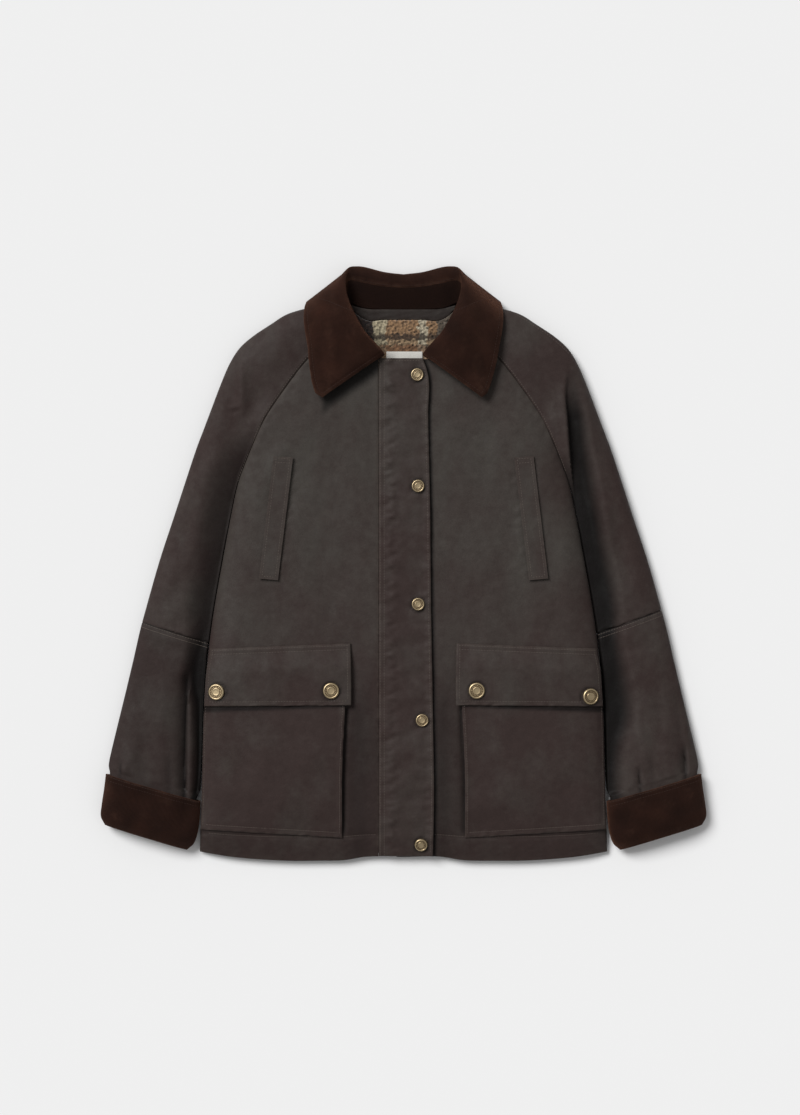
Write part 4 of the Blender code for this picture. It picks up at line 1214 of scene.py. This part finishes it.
def neck_lining():
    across = np.linspace(-1, 1, int(150 / (0.45 * STEP)))
    grid = []
    for share in ticks(0.0, 1.0, 0.45 * STEP / 75):
        x = across * (66 - 6 * share ** 2)
        y = LINING_BOTTOM_Y + share * (FACING.at("bottom", np.abs(x)) - 0.8 - LINING_BOTTOM_Y)
        grid.append(np.column_stack([x, y, inside_level(y) + FLEECE]))
    piece = Piece("neck_lining", np.array(grid), roll=(1.6, 3.0), wall=FLEECE)
    x, y = piece.x, piece.y
    loops = 0.45 * ripple(x, y, 7.0, 96, waves=48) + 0.75 * ripple(x, y, 3.6, 97, waves=64)
    piece.relief += 0.95 * loops
    under_label = smoothstep((252 - y) / 3) * smoothstep((27 - np.abs(x - 1)) / 3)
    piece.relief *= 1 - under_label
    piece.relief -= 0.3 * under_label
    wander_x = x + 1.6 * ripple(x, y, 8, 98)
    wander_y = y + 1.4 * ripple(x, y, 8, 99)
    # The plaid is darker where the loops' relief is low and lighter where it is high: painted shade and
    # painted light.
    colour = band_colour(wander_x, wander_y) * (0.76 + 0.30 * loops)[..., None]
    alpha = np.ones((*x.shape, 1))
    piece.plaid = np.concatenate([np.clip(colour, 0.01, 0.9), alpha], axis=2)
    piece.wear = piece.tone = piece.shade = None
    piece.build()


def neck_label():
    across = ticks(-20, 22, 2.0)
    grid = [level_row(across, y, inside_level(y) + FLEECE + 1.2) for y in np.linspace(236.0, 247.0, 8)]
    piece = Piece("neck_label", np.array(grid), roll=(0.3, 0.8), wall=LABEL)
    piece.relief += 0.25 + 0.25 * ripple(piece.x, piece.y, 18, 101)
    piece.build()


def placket():
    rows = ticks(PLACKET_BOTTOM_Y, PLACKET_TOP_Y, STEP)
    count = int(64 / STEP) + 2
    grid = []
    for y in rows:
        width = PLACKET.at("edge", y) - PLACKET_SEAM_X - GAP
        across = PLACKET_SEAM_X + GAP + width * ticks(0.0, 1.0, 1.0 / count)
        lift = PLACKET_LIFT * smoothstep((across - PLACKET_SEAM_X) / PLACKET_LIFT_RUN)
        grid.append(level_row(across, y, body_level(y) + lift))
    piece = Piece("placket", np.array(grid), roll=(0.9, 2.6))
    x, y = piece.x, piece.y
    piece.relief += body_relief(x, y)
    pucker = ripple(0.35 * x, y, 12.5, 111) + 0.6 * ripple(0.5 * x, y, 7.5, 112)
    piece.relief += 0.75 * pucker * bell(x + 15, 8.5) + 0.3 * ripple(0.5 * x, y, 24, 115)
    piece.relief += 0.40 * ripple(0.4 * x, y, 9, 113) * bell(x - 29, 5)
    piece.relief -= 0.4 * bell(x + 22.6, 1.6)
    piece.relief += 0.4 * bell(x + 26.5, 2.0)
    free = PLACKET.at("edge", y) - x
    piece.relief += 1.9 * (1 - smoothstep(free / 9)) * (1 + 0.3 * ripple(x, y, 70, 116))
    for snap_x, snap_y in PLACKET_SNAPS:
        away = np.hypot(x - snap_x, y - snap_y)
        # Painted shadow in a ring round each snap.
        piece.shade *= 1 - 0.6 * bell(away - 8.4, 1.2)
        turn = np.arctan2(y - snap_y, x - snap_x)
        piece.relief += 0.5 * np.sin(4 * turn + snap_y) * bell(away - 11, 4.5)
        piece.relief -= 0.3 * bell(away - 8.5, 2.5)
        piece.relief = np.where(away < 7.8, body_relief(x, y) - 0.05, piece.relief)
    piece.tone = -0.38 + 0.40 * smoothstep((y - 60) / 140) + 0.1 * ripple(x, y, 60, 114)
    piece.wear = np.maximum(piece.wear, 0.35 * bell(x + 26, 2.5))
    piece.build()


def on_front(x_or_angle, y, height, by_angle=False):
    """A point this high above the front, at x from the centre or at an angle round the side fold, with the
    front's normal there."""
    half, level, edge = body_half(y), body_level(y), edge_level(y)
    if by_angle:
        turn = x_or_angle
    else:
        turn = np.arccos(np.clip(1 - (half - x_or_angle) / SIDE_RADIUS, 0, 1))
    flat = turn >= np.pi / 2 - 1e-9
    x = half - SIDE_RADIUS * (1 - np.cos(turn)) if by_angle or not flat else x_or_angle
    z = edge + (level - edge) * np.sin(turn)
    normal = np.array([np.cos(turn) / SIDE_RADIUS, 0, np.sin(turn) / (level - edge)])
    normal /= np.linalg.norm(normal)
    return np.array([x, y, z]) + height * normal, normal


def patch_grid(rows, inner_table, outer_angle, outer_shift, height):
    """Cloth laid on the front, from its inner edge across and part way round the side fold."""
    flats, turns = steps_for(125, 36)
    grid = []
    for y in rows:
        inner, flat_end = inner_table.at("inner", y), body_half(y) - SIDE_RADIUS
        points = []
        flat_places = ticks(0.0, 1.0, 1.0 / flats)
        flat_places = np.concatenate([flat_places[:-3], flat_places[-1:]])
        turn_places = ticks(0.0, 1.0, 1.0 / turns)[3:]
        for place in inner + (flat_end - inner) * flat_places:
            share = (place - inner) / (body_half(y) - inner)
            points.append(on_front(place, y + outer_shift(y) * share, height(place, y, inner))[0])
        for turn in np.pi / 2 + (outer_angle - np.pi / 2) * turn_places:
            x = body_half(y) - SIDE_RADIUS * (1 - np.cos(turn))
            share = (x - inner) / (body_half(y) - inner)
            points.append(on_front(turn, y + outer_shift(y) * share, height(x, y, inner), by_angle=True)[0])
        grid.append(points)
    return np.array(grid)


def pocket_height(x, y, inner):
    """A bellows pocket stands furthest off the front near its inner edge."""
    up = smoothstep((y - POCKET_BOTTOM_Y) / 40)
    out = 1 - smoothstep((x - inner - 60) / 90)
    return POCKET_EDGE + (POCKET_FULL - POCKET_EDGE) * up * out


def flap_height(x, y, inner):
    down = smoothstep((FLAP_TOP_Y - y) / 30)
    out = 1 - 0.5 * smoothstep((x - inner - 60) / 90)
    return FLAP_EDGE + (FLAP_FULL - FLAP_EDGE) * down * out


def pocket_rise(y):
    return POCKET_OUTER_RISE * smoothstep((-200 - y) / 118)


def flap_drop(y):
    return -FLAP_OUTER_DROP * smoothstep((y + 200) / 108)


def pocket(side, mirror):
    rows = ticks(POCKET_BOTTOM_Y, POCKET_TOP_Y, STEP)
    grid = patch_grid(rows, POCKET_SIDES, POCKET_OUTER_ANGLE, pocket_rise, pocket_height)
    piece = Piece(f"pocket_{side}", grid, mirror=mirror)
    x, y = piece.x, piece.y
    piece.relief += body_relief(x, y) + 0.25 + 0.35 * ripple(x, y, 55, 121 + mirror)
    low = y - POCKET_BOTTOM_Y - pocket_rise(y) * 0.5
    piece.relief += 0.30 * ripple(x, 4 * y, 11, 123) * bell(low, 9)
    inner = np.abs(x) - POCKET_SIDES.at("inner", y)
    piece.relief += 0.30 * ripple(4 * x, y, 13, 124) * bell(inner, 7)
    piece.relief += 0.35 * bell(piece.edge - 2.8, 1.8) - 0.35 * bell(piece.edge - 6.0, 1.3)
    piece.tone = -0.42 + 0.14 * ripple(x, y, 70, 125)
    # Painted shadow on the pocket just below the flap's free edge.
    below_flap = FLAP_BOTTOM_Y - y - FLAP_OUTER_DROP * inner / 165
    piece.shade = 1 - 0.75 * np.exp(-(np.clip(below_flap - 0.5, 0, 50) / 2.0) ** 2)
    piece.build()


def flap(side, mirror):
    rows = ticks(FLAP_BOTTOM_Y, FLAP_TOP_Y, STEP)
    grid = patch_grid(rows, FLAP_SIDES, FLAP_OUTER_ANGLE, flap_drop, flap_height)
    piece = Piece(f"pocket_flap_{side}", grid, mirror=mirror, roll=(0.9, 2.6))
    x, y = piece.x, piece.y
    piece.relief += body_relief(x, y) + 0.45 + 0.30 * ripple(x, y, 42, 131 + mirror)
    along = arc_lengths(grid, 0)
    low, high = along, along[-1:] - along
    piece.relief += 0.36 * ripple(x, 3 * y, 10, 133) * bell(low, 8)
    piece.relief -= 0.40 * bell(low - 5.2, 1.4) + 0.35 * bell(high - 7.0, 1.3)
    piece.relief += 0.30 * bell(high - 3.6, 2.0)
    for snap_x, snap_y in POCKET_SNAPS[side]:
        away = np.hypot(np.abs(x) - snap_x, y - snap_y)
        # Painted shadow in a ring round each snap.
        piece.shade *= 1 - 0.6 * bell(away - 10.4, 1.3)
        turn = np.arctan2(y - snap_y, np.abs(x) - snap_x)
        piece.relief += 0.35 * np.sin(3 * turn + snap_x) * bell(away - 14, 5)
        piece.relief = np.where(away < 9.8, body_relief(x, y) + 0.1, piece.relief)
    piece.tone = -0.16 + 0.14 * ripple(x, y, 60, 134)
    piece.build()


def welt(side, mirror):
    grid = []
    for share in ticks(0.0, 1.0, STEP / 145):
        ends = [np.array(t) * (1 - share) + np.array(b) * share for t, b in zip(WELT_TOP, WELT_BOTTOM)]
        across = np.array(ends[0]) + np.outer(ticks(0.0, 1.0, 0.1), np.array(ends[1]) - np.array(ends[0]))
        grid.append([on_front(x, y, CLOTH + GAP)[0] for x, y in across])
    grid = np.array(grid)
    piece = Piece(f"chest_welt_{side}", grid, mirror=mirror, roll=(0.9, 2.0))
    x, y = piece.x, piece.y
    piece.relief += body_relief(x, y) + 0.2
    piece.relief -= 0.35 * bell(piece.edge - 3.6, 1.0)
    piece.relief += 0.45 * ripple(0.5 * x, y, 9, 141 + mirror)
    piece.tone = 0.02 + 0.1 * ripple(x, y, 40, 142)
    piece.build()


# Snaps


CAP_PROFILE = (
    (1.00, 0.00, 0.3), (1.00, 0.35, 0.1), (0.975, 0.66, 0.0), (0.92, 0.90, 0.0), (0.85, 1.00, 0.0),
    (0.79, 0.97, 0.1), (0.755, 0.86, 0.8), (0.74, 0.78, 1.0), (0.66, 0.77, 0.7), (0.56, 0.77, 0.7),
    (0.50, 0.78, 1.0), (0.48, 0.88, 0.5), (0.44, 0.93, 0.0), (0.36, 0.88, 0.2), (0.25, 0.84, 0.1),
    (0.12, 0.85, 0.0),
)


def cap(node, centre, normal, diameter):
    """A snap cap with a rim, a sunk ring of dots and a raised disc."""
    radius = diameter / 2
    normal = Vector(normal).normalized()
    side = Vector((normal.z, 0, -normal.x)).normalized()
    ahead = normal.cross(side)
    bm = bmesh.new()
    hollow = bm.verts.layers.float.new("hollow")

    def vertex(r, angle, h, depth):
        plan = side * float(r * radius * np.cos(angle)) + ahead * float(r * radius * np.sin(angle))
        made = bm.verts.new((Vector(centre) + plan + h * SNAP_HEIGHT * normal) * MM)
        made[hollow] = depth
        return made

    angles = np.arange(CAP_SIDES) * 2 * np.pi / CAP_SIDES
    rings = [[vertex(r, angle, h, depth) for angle in angles] for r, h, depth in CAP_PROFILE]
    for low, high in zip(rings, rings[1:]):
        for i in range(CAP_SIDES):
            j = (i + 1) % CAP_SIDES
            bm.faces.new((low[i], low[j], high[j], high[i]))
    bm.faces.new(rings[0][::-1])
    bm.faces.new(rings[-1])
    for i in range(CAP_DOTS):
        turn = 2 * np.pi * i / CAP_DOTS
        x, y = 0.61 * np.cos(turn), 0.61 * np.sin(turn)
        foot = [
            vertex(np.hypot(x + 0.055 * np.cos(a), y + 0.055 * np.sin(a)),
                   np.arctan2(y + 0.055 * np.sin(a), x + 0.055 * np.cos(a)), 0.76, 0.6)
            for a in np.arange(6) * np.pi / 3
        ]
        top = vertex(0.61, turn, 0.86, 0.0)
        for j in range(6):
            bm.faces.new((foot[j], foot[(j + 1) % 6], top))
        bm.faces.new(foot[::-1])
    bmesh.ops.recalc_face_normals(bm, faces=bm.faces)
    mesh = bpy.data.meshes.new(f"{node}_cap")
    bm.to_mesh(mesh)
    bm.free()
    mesh.shade_smooth()
    mesh.set_sharp_from_angle(angle=np.radians(50))
    made = add(f"{node}_cap", mesh, MATERIALS["brass"])
    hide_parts(node)


def snaps():
    for number, (x, y) in enumerate(PLACKET_SNAPS, 1):
        lift = float(body_relief(np.array([x]), np.array([y]))[0])
        centre = np.array([x, y, body_level(y) + PLACKET_LIFT + lift])
        reach = PLACKET_SNAP / 2
        slope = (body_level(y + reach) - body_level(y - reach)) / PLACKET_SNAP
        cap(f"placket_snap_{number}", centre, (0.0, -slope, 1.0), PLACKET_SNAP)
    for side, places in POCKET_SNAPS.items():
        sign = -1 if side == "right" else 1
        for number, (x, y) in enumerate(places, 1):
            lift = float(body_relief(np.array([sign * x]), np.array([y]))[0])
            height = flap_height(x, y, FLAP_SIDES.at("inner", y)) + lift + 0.2
            centre, normal = on_front(x, y, height)
            mirror = np.array([sign, 1, 1])
            cap(f"pocket_snap_{side}_{number}", centre * mirror, normal * mirror, POCKET_SNAP)


# Stitches


def rail(node, edge, inset, trim=(0.0, 0.0)):
    """The line a distance in from one edge of a piece, in plan, cut short at its ends."""
    grid = laid[node].grid
    if edge in ("high", "low"):
        grid = np.swapaxes(grid, 0, 1)
    if edge in ("high", "end"):
        grid = grid[:, ::-1]
    reach = arc_lengths(grid, 1)
    line = np.array([
        [np.interp(inset, along, row[:, i]) for i in (0, 1)] for along, row in zip(reach, grid)
    ])
    run = run_along(line)
    return line[(run >= trim[0]) & (run <= run[-1] - trim[1])]


def surface_of(node):
    mesh = built[node].data
    return BVHTree.FromPolygons([v.co for v in mesh.vertices], [p.vertices for p in mesh.polygons])


def stitch_rows(name, rows, material, width=0.48, height=0.30, length=2.3, pitch=3.2):
    """Rows of thread lying in the cloth, each row a piece's node and its line in plan."""
    surfaces = {}
    points, faces = [], []
    for node, line in rows:
        surface = surfaces.setdefault(node, surface_of(node))
        run = run_along(line)
        for place in np.arange(pitch / 2, run[-1], pitch):
            x, y = (np.interp(place, run, line[:, i]) for i in (0, 1))
            further = [np.interp(place + 0.5, run, line[:, i]) for i in (0, 1)]
            before = [np.interp(place - 0.5, run, line[:, i]) for i in (0, 1)]
            hit, normal, _, _ = surface.ray_cast(Vector((x * MM, y * MM, 0.1)), Vector((0, 0, -1)))
            if hit is None or normal.z < 0.1:
                continue
            ahead = Vector((further[0] - before[0], further[1] - before[1], 0))
            if ahead.length < 1e-6:
                continue
            ahead = (ahead - ahead.dot(normal) * normal).normalized()
            side = normal.cross(ahead)
            start = len(points)
            middle = hit / MM + 0.06 * normal
            for end in (-1, 1):
                for turn in np.arange(6) * np.pi / 3:
                    off = side * float(0.5 * width * np.cos(turn))
                    off += normal * float(0.5 * height * np.sin(turn))
                    points.append((middle + end * 0.28 * length * ahead + off) * MM)
            points.append((middle - 0.5 * length * ahead - 0.12 * normal) * MM)
            points.append((middle + 0.5 * length * ahead - 0.12 * normal) * MM)
            for i in range(6):
                j = (i + 1) % 6
                faces.append((start + i, start + j, start + 6 + j, start + 6 + i))
                faces.append((start + 12, start + j, start + i))
                faces.append((start + 13, start + 6 + i, start + 6 + j))
    mesh = bpy.data.meshes.new(name)
    mesh.from_pydata(points, [], faces)
    mesh.shade_smooth()
    add(name, mesh, material)


# Rows of stitches along the edges of a side's pieces, in order: piece, edge, distance in, and how much
# shorter they are at each end.
SIDE_STITCHES = (
    ("sleeve_front", "start", (2.4,), (0, 190)),
    ("sleeve_lower", "low", (ELBOW_TUCK + 1.6, ELBOW_TUCK + 5.8), (0, 0)),
    ("pocket_flap", "high", (2.4, 7.0), (2, 2)),
    ("pocket_flap", "low", (5.2,), (4, 4)),
    ("pocket_flap", "start", (4.2,), (5, 2)),
    ("pocket_flap", "end", (4.2,), (5, 2)),
    ("pocket", "low", (6.0,), (4, 4)),
    ("pocket", "start", (2.6,), (3, 2)),
    ("pocket", "end", (3.0,), (3, 2)),
    ("chest_welt", "start", (3.4,), (2, 2)),
    ("chest_welt", "end", (3.4,), (2, 2)),
    ("chest_welt", "low", (2.0, 7.0), (3, 3)),
    ("chest_welt", "high", (3.0,), (3, 3)),
)
CORDUROY_STITCHES = (
    ("cuff_right", "low", (1.8, 6.2), (0, 0)),
    ("cuff_left", "low", (1.8, 6.2), (0, 0)),
    ("collar_fall", "end", (5.0,), (4, 4)),
    ("collar_fall", "start", (2.0,), (110, 110)),
    ("collar_fall", "low", (4.0,), (12, 4)),
    ("collar_fall", "high", (4.0,), (12, 4)),
)


def edge_rows(listed, ending=""):
    return [
        (node + ending, rail(node + ending, edge, inset, trim))
        for node, edge, insets, trim in listed
        for inset in insets
    ]


def stitches():
    ys = np.arange(-340.0, 237.0, 4.0)
    rows = [("placket", np.column_stack([np.full(len(ys), x), ys])) for x in (-27.0, -22.4)]
    rows += edge_rows((("placket", "end", (3.0,), (3, 3)), ("placket", "high", (3.0,), (3, 3))))
    for side, sign in (("right", -1), ("left", 1)):
        rows += edge_rows(SIDE_STITCHES, f"_{side}")
        xs = np.arange(32.0, body_half(-318.0) - 6, 4.0)
        hem = HEM_Y + HEM_SEAM
        hem = hem + hem_shift(xs, hem)
        rows.append((f"front_{side}", np.column_stack([sign * xs, hem])))
    rows.append(("sleeve_front_left", smooth_path(OVERARM_SEAM, 40)))
    stitch_rows("stitches_thread", rows, MATERIALS["thread"])
    stitch_rows("stitches_corduroy", edge_rows(CORDUROY_STITCHES), MATERIALS["dark_thread"])


# Surroundings


def surroundings():
    mesh = bpy.data.meshes.new("floor")
    reach = 4.0
    corners = [(reach * x, reach * y, FLOOR_Z) for x, y in ((-1, -1), (1, -1), (1, 1), (-1, 1))]
    mesh.from_pydata(corners, [], [(0, 1, 2, 3)])
    white = Nodes("paper_white", 0.9, Specular_IOR_Level=0.0)
    white.shader.inputs["Base Color"].default_value = (0.85, 0.85, 0.85, 1.0)
    mesh.materials.append(white.material)
    floor = link("floor", mesh)

    light = bpy.data.lights.new("sun", "SUN")
    light.energy = SUN_STRENGTH
    light.angle = np.radians(30)
    sun = link("sun", light)
    sun.rotation_euler = Vector((1.0, -1.0, -1.46)).to_track_quat("-Z", "Y").to_euler()

    world = bpy.data.worlds.new("world")
    world.use_nodes = True
    back_light = world.node_tree.nodes["Background"]
    back_light.inputs["Color"].default_value = (1.0, 1.0, 1.0, 1.0)
    back_light.inputs["Strength"].default_value = SKY_STRENGTH
    bpy.context.scene.world = world

    lens = bpy.data.cameras.new("camera")
    lens.lens = 85
    lens.sensor_width = 36
    lens.clip_end = 20
    camera = link("camera", lens)
    camera.location = CAMERA_PLACE
    bpy.context.scene.camera = camera
    bpy.context.scene.view_settings.view_transform = "Standard"


MATERIALS = {
    "waxed_cotton": waxed_cotton(),
    "corduroy": corduroy(),
    "fleece": fleece(),
    "brass": brass(),
    "label": plain("label_weave", (0.62, 0.60, 0.56), 0.75, size=0.0008, Specular_IOR_Level=0.3),
    "thread": plain("thread_tan", (0.105, 0.083, 0.068), 0.6, size=0.0005, Specular_IOR_Level=0.4),
    "dark_thread": plain("thread_brown", (0.030, 0.014, 0.009), 0.6, size=0.0005, Specular_IOR_Level=0.3),
}
SIDES = (("right", True), ("left", False))
built = {}
laid = {}

surroundings()
back()
for side, mirror in SIDES:
    front(side, -PLACKET_SEAM_X if mirror else UNDERLAP_X, mirror)
for side, mirror in SIDES:
    upper_sleeve(side, False, mirror)
    upper_sleeve(side, True, mirror)
    lower_sleeve(side, mirror)
    cuff(side, mirror)
    pocket(side, mirror)
    flap(side, mirror)
    welt(side, mirror)
placket()
neck_facing()
neck_lining()
neck_label()
collar()
snaps()
stitches()
